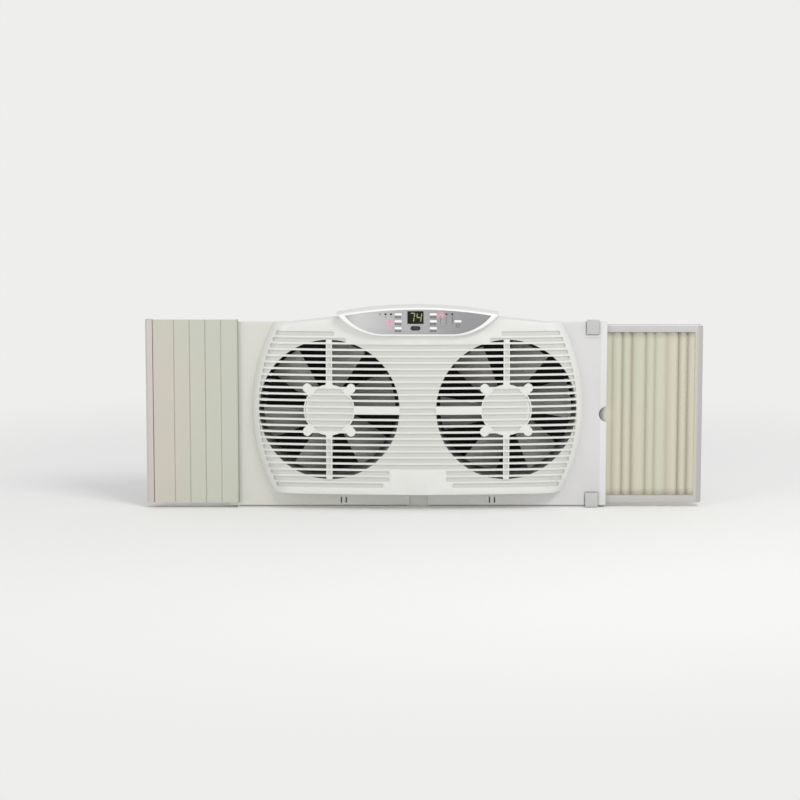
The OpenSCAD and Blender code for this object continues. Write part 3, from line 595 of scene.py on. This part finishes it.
def pleat_reflection_tint(f):
    """Painted reflection tint: cool high up at the left and in the middle pleats, warm elsewhere.
    """
    high_left = f.steps(f.z, 0.12, 0.22) * (1.0 - f.steps(f.x, 0.350, 0.395))
    middle_pleats = f.steps(f.x, 0.366, 0.380) * (1.0 - f.steps(f.x, 0.408, 0.424))
    return 1.0 - high_left.max(0.7 * middle_pleats)


def slat_reflection_tint(f):
    """Painted reflection tint: warm towards the cap, more so low down."""
    return 0.9 - f.steps(f.x + 0.06 * f.z, -0.43, -0.34) * 0.8 - f.steps(f.z, 0.22, 0.31) * 0.5


def clamp_finish():
    """The strip in the slats' ivory, with painted shade where it meets the flange."""
    f = Finish("clamp_vinyl", srgb(196, 196, 182), 0.42)
    # painted shade in the gap by the flange
    edge = f.steps(f.x, -0.2988, -0.2978)
    grain = f.noise(300.0, 2.0, 0.5, (1, 1, 0.05))
    f.set("Base Color", f.mix(edge, srgb(194, 194, 180), srgb(146, 144, 132)))
    f.set("Roughness", 0.38 + 0.1 * grain)
    f.bump(grain, 0.00003)
    return f.mat


def smoked_lens(name, color):
    f = Finish(name, color, 0.12, Specular_IOR_Level=0.22)
    f.set("Roughness", 0.1 + 0.1 * f.noise(60.0))
    return f.mat


def light_pipe_finish():
    """Smoked light pipes; the outermost one at the left is milky."""
    f = Finish("light_pipe", srgb(40, 36, 40), 0.2)
    milky = f.x < lens_x - 0.0535
    tone = f.mix(f.steps(f.x, lens_x, lens_x + 0.06), srgb(26, 25, 26), srgb(66, 54, 60))
    f.set("Base Color", f.mix(milky, tone, srgb(150, 150, 152)))
    f.set("Roughness", 0.14 + 0.12 * f.noise(90.0))
    return f.mat


def glow(name, color, strength):
    f = Finish(name, shade(color, 0.1), 0.4)
    f.set("Emission Color", (*color, 1.0))
    f.set("Emission Strength", strength)
    return f.mat


housing_plastic = housing_finish()
rear_plastic = rear_finish()
frame_plastic = moulded("frame_plastic", srgb(206, 205, 203), 0.36)
cap_plastic = moulded("cap_plastic", srgb(202, 195, 190), 0.4)
lock_plastic = moulded("lock_plastic", srgb(192, 192, 191), 0.32)
button_plastic = moulded("button_plastic", srgb(246, 246, 246), 0.25, 0.3)
impeller_plastic = moulded("impeller_plastic", srgb(176, 176, 173), 0.36)
black_plastic = moulded("black_plastic", srgb(38, 38, 40), 0.45)
core_steel = turned_metal("core_steel", srgb(120, 120, 124), 0.5)
plated_steel = turned_metal("plated_steel", srgb(178, 178, 182), 0.32)
bell_alloy = turned_metal("bell_alloy", srgb(170, 170, 172), 0.45)
# Each sheet's fourth colour is its painted shade in the folds and by the ends.
pleat_vinyl = vinyl(
    "pleat_vinyl", srgb(204, 201, 183), srgb(199, 201, 179), srgb(207, 200, 183), pleat_reflection_tint,
    (pleat_low[1] + 0.0008, pleat_low[1] + 0.0062), srgb(183, 179, 160),
    (pleat_low[2], pleat_high[2]), COVERED,
)
slat_vinyl = vinyl(
    "slat_vinyl", srgb(199, 197, 185), srgb(194, 197, 183), srgb(202, 195, 184), slat_reflection_tint,
    (slat_low[1] + 0.0004, slat_low[1] + 0.0024), srgb(132, 124, 106),
    (slat_low[2] - 0.02, slat_high[2] + 0.02),
)

# ---- Nodes that keep their own shape ----

PAINTED = {
    "rear_shell": rear_plastic,
    "ir_window": smoked_lens("window_smoke", srgb(62, 54, 58)),
    "display_lens": smoked_lens("display_smoke", srgb(22, 24, 10)),
    "indicator_leds": light_pipe_finish(),
    "control_board": moulded("board_green", srgb(26, 92, 58), 0.3),
    "display_module": black_plastic,
    "tact_switches": black_plastic,
    "power_board": moulded("board_tan", srgb(150, 118, 66), 0.5),
    "transformer": core_steel,
    "wiring_harness": moulded("lead_sleeve", srgb(52, 52, 56), 0.5),
    "cord_grommet": moulded("grommet_rubber", srgb(34, 34, 34), 0.7, 1.5),
    "housing_screws": plated_steel,
}
PAINTED_PAIRS = {
    "motor_front_bell_": bell_alloy,
    "motor_rear_bell_": bell_alloy,
    "stator_": core_steel,
    "windings_": enamelled_copper(),
    "bushes_": turned_metal("bush_bronze", srgb(176, 140, 84), 0.4),
    "motor_screws_": plated_steel,
    "rotor_": core_steel,
    "shaft_": plated_steel,
    "impeller_nut_": plated_steel,
}
for node, material in PAINTED.items():
    paint(node, material)
for stem, material in PAINTED_PAIRS.items():
    for side in ("left", "right"):
        paint(stem + side, material)

# ---- Nodes whose shape is finer here ----


def row_reach(k):
    """Where louvre row k starts and ends, as distances from the middle."""
    return ROW_START.get(k, -1.0), math.sqrt((SIDE_R - RIM) ** 2 - (k * PITCH) ** 2) - SIDE_SHIFT


def open_louvres(co):
    """Widens each slot and groove about its own middle line; ends on circles stay on them."""
    x, y, z = co
    k = round((z - FAN_Z) / PITCH)
    off = z - FAN_Z - k * PITCH
    if abs(k) > LAST_ROW or abs(off) > SLOT_IN / 2 + 0.00003:
        return co
    start, end = row_reach(k)
    depth = y - crown_at(x, z)
    if not (start - 0.0001 <= abs(x) <= end + 0.0001 and -0.0004 < depth < LOUVRE_D + 0.0004):
        return co
    new_z = FAN_Z + k * PITCH + off * SLOT / SLOT_IN
    fan_x = math.copysign(FAN_X, x)
    circles = [(fan_x, FAN_Z, OPENING_R), (fan_x, FAN_Z, HUB_R)]
    circles += [
        (fan_x + u * LOBE_AT, FAN_Z + v * LOBE_AT, LOBE_R) for u in (-1, 1) for v in (-1, 1)
    ]
    for cx, cz, r in circles:
        if abs(math.hypot(x - cx, z - cz) - r) < 0.00012 and abs(new_z - cz) < r:
            x = cx + math.copysign(math.sqrt(r * r - (new_z - cz) ** 2), x - cx)
            break
    return Vector((x, y, new_z))


def on_crown(bm, x, z, before, behind):
    """Two points at one place, by their depths from the crown's surface."""
    y = crown_at(x, z)
    return bm.verts.new((x, y + before, z)), bm.verts.new((x, y + behind, z))


def groove(bm, mid, half_width, k, steps):
    """A cutter along louvre row k; half_width gives its reach to each side at a height."""
    loops = []
    for i in range(steps + 1):
        pairs = []
        for z in (FAN_Z + k * PITCH - SLOT / 2, FAN_Z + k * PITCH + SLOT / 2):
            left, right = mid - half_width(z), mid + half_width(z)
            pairs.append(on_crown(bm, left + (right - left) * (i / steps), z, -0.004, GROOVE_D))
        (a, b), (d, c) = pairs
        loops.append([a, b, c, d])
    skin(bm, loops)


def hub_half_width(z):
    return math.sqrt((HUB_R - HUB_EDGE) ** 2 - (z - FAN_Z) ** 2)


def bar_half_width(_z):
    return BAR_W / 2


def front_cutters(bm):
    """Blind grooves over the hub plates and upright bars, and the pockets round the slide locks."""
    for mid in (-FAN_X, FAN_X):
        for k in range(-3, 4):
            groove(bm, mid, hub_half_width, k, 8)
        for k in [i * j for i in range(5, 11) for j in (-1, 1)]:
            groove(bm, mid, bar_half_width, k, 2)
    for (x0, x1), (z0, z1), deep in (
        ((0.2779, 0.3011), (0.2894, 0.3130), 0.0012),
        ((0.2779, 0.3011), (0.0030, 0.0266), 0.0012),
        ((0.2765, 0.3025), (0.2830, 0.2850), 0.0008),
    ):
        block(bm, (x0, FLANGE_FRONT - 0.001, z0), (x1, FLANGE_FRONT + deep, z1))


def taller(co):
    """The left sheet's height in the photograph, for what stands beside it."""
    z = slat_low[2] + (co.z - slat_low[2]) * SKIN_H / (slat_high[2] - slat_low[2])
    return Vector((co.x, co.y, z))


def narrow_cap(co):
    """The cap as slim as in the photograph and as tall as the slats beside it."""
    _, y, z = taller(co)
    return Vector((CAP_OUT + (co.x - CAP_OUT) * CAP_W / (CAP_IN - CAP_OUT), y, z))


EASED = {
    "front_shell": (housing_plastic, 0.0004, open_louvres, front_cutters),
    "control_face": (silver_face(), 0.0002),
    "left_frame": (frame_plastic, 0.0006),
    "right_frame": (right_frame_finish(), 0.0006),
    "left_stile_cap": (cap_plastic, 0.0005, narrow_cap),
    "left_curtain_clamp": (clamp_finish(), 0.0004, taller),
    "lock_upper": (lock_plastic, 0.0005),
    "lock_lower": (lock_plastic, 0.0005),
    "impeller_left": (impeller_plastic, 0.0004),
    "impeller_right": (impeller_plastic, 0.0004),
}
for node in NODES:
    if node.startswith("button_"):
        EASED[node] = (button_plastic, 0.0004)
for node, how in EASED.items():
    eased_copy(node, *how)

# ---- Further pieces of the housing and the impellers ----


def hub_webs(bm):
    """Webs that join each hub plate to its four lobes, just under the crown's surface."""
    reach = LOBE_AT * math.sqrt(2)
    for side in (-1, 1):
        for quarter in (45, 135, 225, 315):
            turn = math.radians(quarter)
            along = Vector((math.cos(turn), math.sin(turn)))
            across = Vector((-along.y, along.x)) * (LOBE_R - 0.0003)
            loops = []
            for t in (HUB_R - 0.004, (HUB_R + reach) / 2, reach + 0.002):
                (a, b), (d, c) = (
                    on_crown(bm, side * FAN_X + v.x, FAN_Z + v.y, 0.00005, 0.00555)
                    for v in (along * t - across, along * t + across)
                )
                loops.append([a, b, c, d])
            skin(bm, loops)


def hub_linings(bm):
    """Thin discs that line the hub plates from behind, where the grooves run deepest."""
    y = CROWN_Y + (FAN_X + HUB_R - 0.003) ** 2 / (2 * CROWN_R) + 0.0032
    for x in (-FAN_X, FAN_X):
        rings = ((0.0385, -0.00003), (0.0388, 0.0003), (0.0385, 0.0007))
        turned(bm, (x, y, FAN_Z), rings, 64)


def notch_wall(bm):
    """The inner wall that shows through the notch in the lower edge."""
    block(bm, (-0.0175, REAR_FRONT, 0.0016), (0.021, REAR_FRONT + 0.002, 0.0245))
    bmesh.ops.bevel(bm, geom=bm.edges[:], offset=0.0004, segments=2, profile=0.5, affect="EDGES")


def insect_screens(bm):
    """Thin woven discs that lie on the inner side of the two rear guards, black and closed as
    painted shade behind the blades.
    """
    near, far, inner, outer = -0.0005, -0.0001, 0.0030, OPENING_R - 0.0004
    rings = ((inner, near), (outer, near), (outer, far), (inner, far))
    for x in (-FAN_X, FAN_X):
        turned(bm, (x, GUARD_BACK - 0.0025, FAN_Z), rings, 96, hollow=True)


BLADES = 6
BLADE_TILT, CAMBER_R = math.radians(62), 0.110  # how a blade's sheet leans and curves
BLADE_T, BLADE_SHIFT = 0.0018, 0.0045  # its thickness, and its place before the hub's middle
ROOT_R, TIP_R = 0.0352, 0.109  # where a blade starts and ends
FRONT_EDGE, WIDER = -12.0, 5.5  # degrees: its front edge from its own radius, and what is added
OVERLAP = 1.2  # degrees that the added strip reaches back over the blade
IMPELLER_Y = -0.02845  # the middle of an impeller's depth
LAP = 0.00003  # the strip's skin lies this far over the blade's


def sheet_depth(across, inset):
    """Depth of a blade's cambered sheet, that far across from the blade's own radius."""
    r = CAMBER_R - inset
    chord = across / math.sin(BLADE_TILT)
    for _ in range(6):
        drop = math.sqrt(r * r - chord * chord) - CAMBER_R
        chord = (across - drop * math.cos(BLADE_TILT)) / math.sin(BLADE_TILT)
    return chord * math.cos(BLADE_TILT) - drop * math.sin(BLADE_TILT) - BLADE_SHIFT


def blade_front_grid(bm, fan_x, turn, inset, rows=12, columns=6):
    """Points of the sheet ahead of a blade's front edge, in rows from its root to its tip."""
    grid = []
    for i in range(rows + 1):
        r = ROOT_R + (TIP_R - ROOT_R) * i / rows
        line = []
        for j in range(columns + 1):
            a = math.radians(FRONT_EDGE + OVERLAP - (WIDER + OVERLAP) * j / columns)
            y = IMPELLER_Y + sheet_depth(r * math.sin(a), inset)
            x, z = fan_x + r * math.cos(a + turn), FAN_Z + r * math.sin(a + turn)
            line.append(bm.verts.new((x, y, z)))
        grid.append(line)
    return grid


def blade_fronts(fan_x, edge_at):
    """Strips that carry each blade's sheet on past its front edge; edge_at is one edge's angle."""

    def build(bm):
        for blade in range(BLADES):
            turn = math.radians(edge_at - FRONT_EDGE + 360 // BLADES * blade)
            near, far = (
                blade_front_grid(bm, fan_x, turn, inset) for inset in (-LAP, BLADE_T + LAP)
            )
            for grid in (near, far):
                for a, b in zip(grid, grid[1:]):
                    span(bm, a, b)
            for end in (0, -1):
                span(bm, [line[end] for line in near], [line[end] for line in far])
                span(bm, near[end], far[end])

    return build


for side, fan_x, edge_at in (("left", -FAN_X, 63.0), ("right", FAN_X, 116.0)):
    finished(
        "blade_fronts_" + side, "fan_" + side, impeller_plastic,
        smooth_by_angle(built(blade_fronts(fan_x, edge_at))),
    )
finished("hub_webs", "housing", housing_plastic, built(hub_webs))
finished("hub_linings", "housing", housing_plastic, built(hub_linings))
finished("notch_wall", "housing", rear_plastic, built(notch_wall))
finished("insect_screens", "housing", woven_screen(), built(insect_screens))

# ---- Curtains ----

SHEET_INPUTS = {
    "Start": "Vector",
    "Length": "Float",
    "Height": "Float",
    "Pitch": "Float",
    "Depth": "Float",
    "Thickness": "Float",
    "Points": "Int",
    "Material": "Material",
}


class SheetTree(Nodes):
    """A tall sheet whose depth follows a rule along X; wave(tree, x) gives the depth."""

    def __init__(self, name, wave):
        super().__init__(bpy.data.node_groups.new(name, "GeometryNodeTree"))
        self.tree.is_modifier = True
        for key, kind in {"Geometry": "Geometry", **SHEET_INPUTS}.items():
            self.socket(key, "INPUT", kind)
        self.socket("Geometry", "OUTPUT", "Geometry")
        self.given = self.tree.nodes.new("NodeGroupInput")
        length = self.node("ShaderNodeCombineXYZ", {}, X=self["Length"])
        line = self.node(
            "GeometryNodeMeshLine", {"mode": "END_POINTS"},
            Count=self["Points"], Start_Location=(0.0, 0.0, 0.0), Offset=length,
        )
        x = self.node("ShaderNodeSeparateXYZ", {}, self.node("GeometryNodeInputPosition", {}))
        depth = self.node("ShaderNodeCombineXYZ", {}, Y=wave(self, x))
        bent = self.node("GeometryNodeSetPosition", {}, Geometry=line, Offset=depth)
        rise = self.node("ShaderNodeCombineXYZ", {}, Z=self["Height"])
        raised = self.extruded("EDGES", Mesh=bent, Offset=rise, Offset_Scale=1.0)
        back = self.extruded(
            "FACES", Mesh=raised, Individual=False, Offset_Scale=self["Thickness"]
        )
        flipped = self.node("GeometryNodeFlipFaces", {}, Mesh=raised)
        joined = self.tree.nodes.new("GeometryNodeJoinGeometry")
        for part in (back, flipped):
            self.put(joined.inputs[0], part)
        merged = self.node(
            "GeometryNodeMergeByDistance", {},
            Geometry=Sock(self, joined.outputs[0]), Distance=0.000005,
        )
        moved = self.node(
            "GeometryNodeTransform", {}, Geometry=merged, Translation=self["Start"]
        )
        real = self.node("GeometryNodeRealizeInstances", {}, Geometry=moved)
        dressed = self.node(
            "GeometryNodeSetMaterial", {}, Geometry=real, Material=self["Material"]
        )
        self.put(self.tree.nodes.new("NodeGroupOutput").inputs[0], dressed)

    def socket(self, key, way, kind):
        self.tree.interface.new_socket(key, in_out=way, socket_type="NodeSocket" + kind)

    def extruded(self, mode, **named):
        return self.node("GeometryNodeExtrudeMesh", {"mode": mode}, **named)

    def __getitem__(self, key):
        return Sock(self, self.given.outputs[key])


def pleat_wave(tree, x):
    """Folds with broad rounded fronts and narrow valleys, uneven in width and in depth."""
    sway = (x * 131.0).sin() * 0.0024
    along = tree["Length"] - (x + sway)
    front = (along / tree["Pitch"] * math.pi).cos().abs() ** 0.95
    uneven = (x * 74.0).sin() * 0.16
    return (1.0 - front) * (tree["Depth"] * (0.78 - uneven))


def groove_wave(tree, x):
    """Flat slats with a narrow V groove between, counted from the clamp, and one by the cap."""
    count = (tree["Length"] - x) / tree["Pitch"]
    away = ((count + 0.5).fract() - 0.5).abs() * tree["Pitch"]
    inside = (count < SLATS - 0.5) * (count > 0.5)
    between = (1.0 - away / 0.0013).max(0.0) * inside * 0.5
    by_cap = (1.0 - x / 0.0016).max(0.0)
    return between.max(by_cap) * tree["Depth"]


def run_tree(name, tree, values):
    """Runs the tree on an empty mesh and returns the plain mesh that it makes."""
    carrier = bpy.data.objects.new(name, bpy.data.meshes.new(name))
    bpy.context.scene.collection.objects.link(carrier)
    modifier = carrier.modifiers.new("make", "NODES")
    modifier.node_group = tree
    for item in tree.interface.items_tree:
        if item.in_out == "INPUT" and item.name in values:
            modifier[item.identifier] = values[item.name]
    bpy.context.view_layer.update()
    return evaluated(carrier)


def make_sheet(name, node, material, wave, **values):
    tree = SheetTree(name + "_form", wave).tree
    mesh = edited(run_tree(name, tree, {"Material": material, **values}), outwards)
    sheet = finished(name, "housing", material, smooth_by_angle(mesh, math.radians(50)))
    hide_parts(node)
    return sheet


PLEATS, SLATS = 9, 5
PLEAT_POINTS, SLAT_POINTS = 32, 80  # along X, for each
pleat_reach = pleat_high[0] - pleat_low[0]
pleats = make_sheet(
    "pleated_curtain", "right_curtain", pleat_vinyl, pleat_wave,
    Start=(pleat_low[0], pleat_low[1] + 0.0002, pleat_low[2]),
    Length=pleat_reach, Height=pleat_high[2] - pleat_low[2], Pitch=pleat_reach / PLEATS,
    Depth=0.0060, Thickness=0.0009, Points=PLEATS * PLEAT_POINTS + 1,
)
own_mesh(pleats)

slat_reach = slat_high[0] - CAP_OUT - CAP_W
slats = make_sheet(
    "slatted_curtain", "left_curtain", slat_vinyl, groove_wave,
    Start=(CAP_OUT + CAP_W, slat_low[1], slat_low[2]),
    Length=slat_reach, Height=SKIN_H, Pitch=0.0259,
    Depth=0.0026, Thickness=0.0012, Points=SLATS * SLAT_POINTS + 1,
)
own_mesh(slats)

# ---- Display, lights and printed marks ----

DIGIT_W, DIGIT_H = 0.0072, 0.0142
STROKE, GAP = 0.0017, 0.00018  # a segment's width, and the gap at its ends
LEAN = 0.16  # how far the digits lean to the right, by their height
FIGURES = (("7", -0.0058), ("4", 0.0058))  # what shows, and how far from the lens's middle
SEGMENTS = {"7": "abc", "4": "fgbc"}
INK = 0.00005  # how thick a printed mark is


def plate(bm, loop, y, lift):
    """A thin raised mark with a convex outline in X and Z, its front at y - lift."""
    skin(bm, [[bm.verts.new((x, depth, z)) for x, z in loop] for depth in (y - lift, y + 0.00002)])


def bar(bm, x, z, w, h):
    """A printed bar about a place on the control face."""
    left, right, low, high = x - w / 2, x + w / 2, z - h / 2, z + h / 2
    plate(bm, [(left, low), (right, low), (right, high), (left, high)], FACE_FRONT, INK)


def digit(bm, figure, x, z, y):
    """One seven-segment figure; each segment is a bar with pointed ends, leaning to the right."""
    w, h, t = DIGIT_W / 2, DIGIT_H / 2, STROKE / 2
    runs = {
        "a": ((-w, h), (w, h)),
        "g": ((-w, 0), (w, 0)),
        "f": ((-w, 0), (-w, h)),
        "b": ((w, 0), (w, h)),
        "c": ((w, -h), (w, 0)),
    }
    for key in SEGMENTS[figure]:
        (x0, z0), (x1, z1) = runs[key]
        if z0 == z1:
            loop = [
                (x0 + GAP, z0), (x0 + GAP + t, z0 - t), (x1 - GAP - t, z0 - t),
                (x1 - GAP, z0), (x1 - GAP - t, z0 + t), (x0 + GAP + t, z0 + t),
            ]
        else:
            loop = [
                (x0, z0 + GAP), (x0 + t, z0 + GAP + t), (x0 + t, z1 - GAP - t),
                (x0, z1 - GAP), (x0 - t, z1 - GAP - t), (x0 - t, z0 + GAP + t),
            ]
        plate(bm, [(x + u + LEAN * v, z + v) for u, v in loop], y, 0.00008)


def display_digits(bm):
    for figure, off in FIGURES:
        digit(bm, figure, lens_x + off, lens_z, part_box("display_lens")[0][1])


def lit_lights(bm):
    """Low domes on the two lights that are on."""
    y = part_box("indicator_leds")[0][1]
    rings = ((0.00145, 0.0), (0.00138, -0.0002), (0.0011, -0.00038), (0.0006, -0.00047))
    for x, z in LIT_LIGHTS:
        turned(bm, (x, y, z), rings, 24)


def printed_legend(bm):
    """Short bars beside the buttons and lights, and the ring under the power button."""
    for column in ("left", "right"):
        for row in ("top", "mid", "low"):
            x, z = middle("button_" + column + "_" + row)
            for i, w in enumerate((0.0026, 0.0014, 0.0022, 0.0018)):
                bar(bm, x - 0.0038 + i * 0.0026, z - 0.0048, w, 0.0035)
    for k, x in enumerate((0.0406, 0.0504, 0.06)):
        for i, h in enumerate((0.0022, 0.0015, 0.0024, 0.0013, 0.0020)):
            bar(bm, lens_x + x, top_row_z - 0.0046 - i * 0.0025, 0.0013 + 0.0002 * k, h)
    for x in (-0.049, -0.04):
        bar(bm, lens_x + x, top_row_z - 0.0042, 0.0006, 0.0022)
    x, z = middle("button_power")
    z -= 0.0072
    pieces, inner, outer = 34, 0.0019, 0.0031
    for i in range(3, pieces - 3):
        a, b = (math.pi / 2 + (i + j) * 2 * math.pi / pieces for j in (0, 1))
        corners = ((inner, a), (inner, b), (outer, b), (outer, a))
        loop = [(x + r * math.cos(t), z + r * math.sin(t)) for r, t in corners]
        plate(bm, loop, FACE_FRONT, INK)
    bar(bm, x, z + 0.0022, 0.0008, 0.0028)


digit_glow = glow("digit_glow", srgb(172, 174, 124), 0.72)
pink_glow = glow("pink_glow", srgb(250, 178, 198), 0.85)
legend_ink = moulded("legend_ink", srgb(104, 103, 106), 0.5, 0.3, 0.06)
finished("display_digits", "housing", digit_glow, built(display_digits))
finished("lit_lights", "housing", pink_glow, built(lit_lights))
finished("printed_legend", "housing", legend_ink, built(printed_legend))

# ---- Stage, light and camera ----

PALE = (*srgb(238, 238, 237), 1.0)  # the backdrop
FLOOR_REACH = 60.0  # from the middle to each side


def floor_paper():
    """Pale paper that keeps the shadow and runs into the backdrop's own tone further away."""
    f = Finish("floor_paper", srgb(244, 244, 243), 0.9)
    fibre = f.noise(60.0)
    f.set("Base Color", f.mix(fibre, srgb(243, 243, 242), srgb(246, 246, 245)))
    f.bump(fibre, 0.0001)
    away = (f.x * f.x + f.y * f.y) ** 0.5
    paper = Sock(f, f.shader.outputs[0])
    plain = f.node("ShaderNodeEmission", {}, PALE)
    part = f.steps(away, 0.5, 1.6) * f.in_sight()
    shown = f.node("ShaderNodeMixShader", {}, part, paper, plain)
    f.put(f.first("OUTPUT_MATERIAL").inputs[0], shown)
    return f.mat


def floor_grid(bm):
    bmesh.ops.create_grid(bm, x_segments=1, y_segments=1, size=FLOOR_REACH)


floor_mesh = edited(bpy.data.meshes.new("studio_floor"), floor_grid)
floor_mesh.materials.append(floor_paper())
studio_floor = bpy.data.objects.new("studio_floor", floor_mesh)
bpy.context.scene.collection.objects.link(studio_floor)

world = bpy.data.worlds.new("studio")
world.use_nodes = True
bpy.context.scene.world = world
air = Nodes(world.node_tree)
sky = world.node_tree.nodes["Background"]
sky.inputs["Color"].default_value = (0.985, 0.99, 1.0, 1.0)
sky.inputs["Strength"].default_value = 0.68
backdrop = air.node("ShaderNodeBackground", {}, PALE)
lit_sky = Sock(air, sky.outputs[0])
seen_sky = air.node("ShaderNodeMixShader", {}, air.in_sight(), lit_sky, backdrop)
air.put(world.node_tree.nodes["World Output"].inputs[0], seen_sky)


def aimed(obj, spot, aim):
    """Places a lamp or camera and turns it to what it is aimed at."""
    obj.location = spot
    obj.rotation_euler = (Vector(aim) - Vector(spot)).to_track_quat("-Z", "Y").to_euler()
    bpy.context.scene.collection.objects.link(obj)


def softbox(name, spot, size, watts, color):
    data = bpy.data.lights.new(name, "AREA")
    data.shape = "RECTANGLE"
    data.size, data.size_y = size
    data.energy = watts
    data.color = color
    aimed(bpy.data.objects.new(name, data), spot, (0.0, 0.0, 0.16))


softbox("key_light", (1.3, -1.9, 2.3), (1.3, 1.0), 34.0, (1.0, 0.995, 0.98))
softbox("left_fill", (-2.4, -2.4, 0.9), (1.4, 1.4), 14.0, (1.0, 1.0, 0.97))

PX = 0.00166  # metres in the photograph's pixel, at the part
PICTURE, MIDDLE_AT = 800, 417.65  # the picture's width, and the pixel column of X = 0
ELEVATION = math.radians(7.8)
DISTANCE = 4.2
SENSOR = 36.0
AIM = Vector(((PICTURE / 2 - MIDDLE_AT) * PX, -0.0385, 0.1808))
camera = bpy.data.cameras.new("photo_camera")
camera.sensor_width = SENSOR
camera.lens = SENSOR * DISTANCE / (PICTURE * PX)
camera.clip_end = 200
viewer = bpy.data.objects.new("photo_camera", camera)
aimed(viewer, AIM + DISTANCE * Vector((0, -math.cos(ELEVATION), math.sin(ELEVATION))), AIM)
bpy.context.scene.camera = viewer
bpy.context.scene.view_settings.view_transform = "Standard"
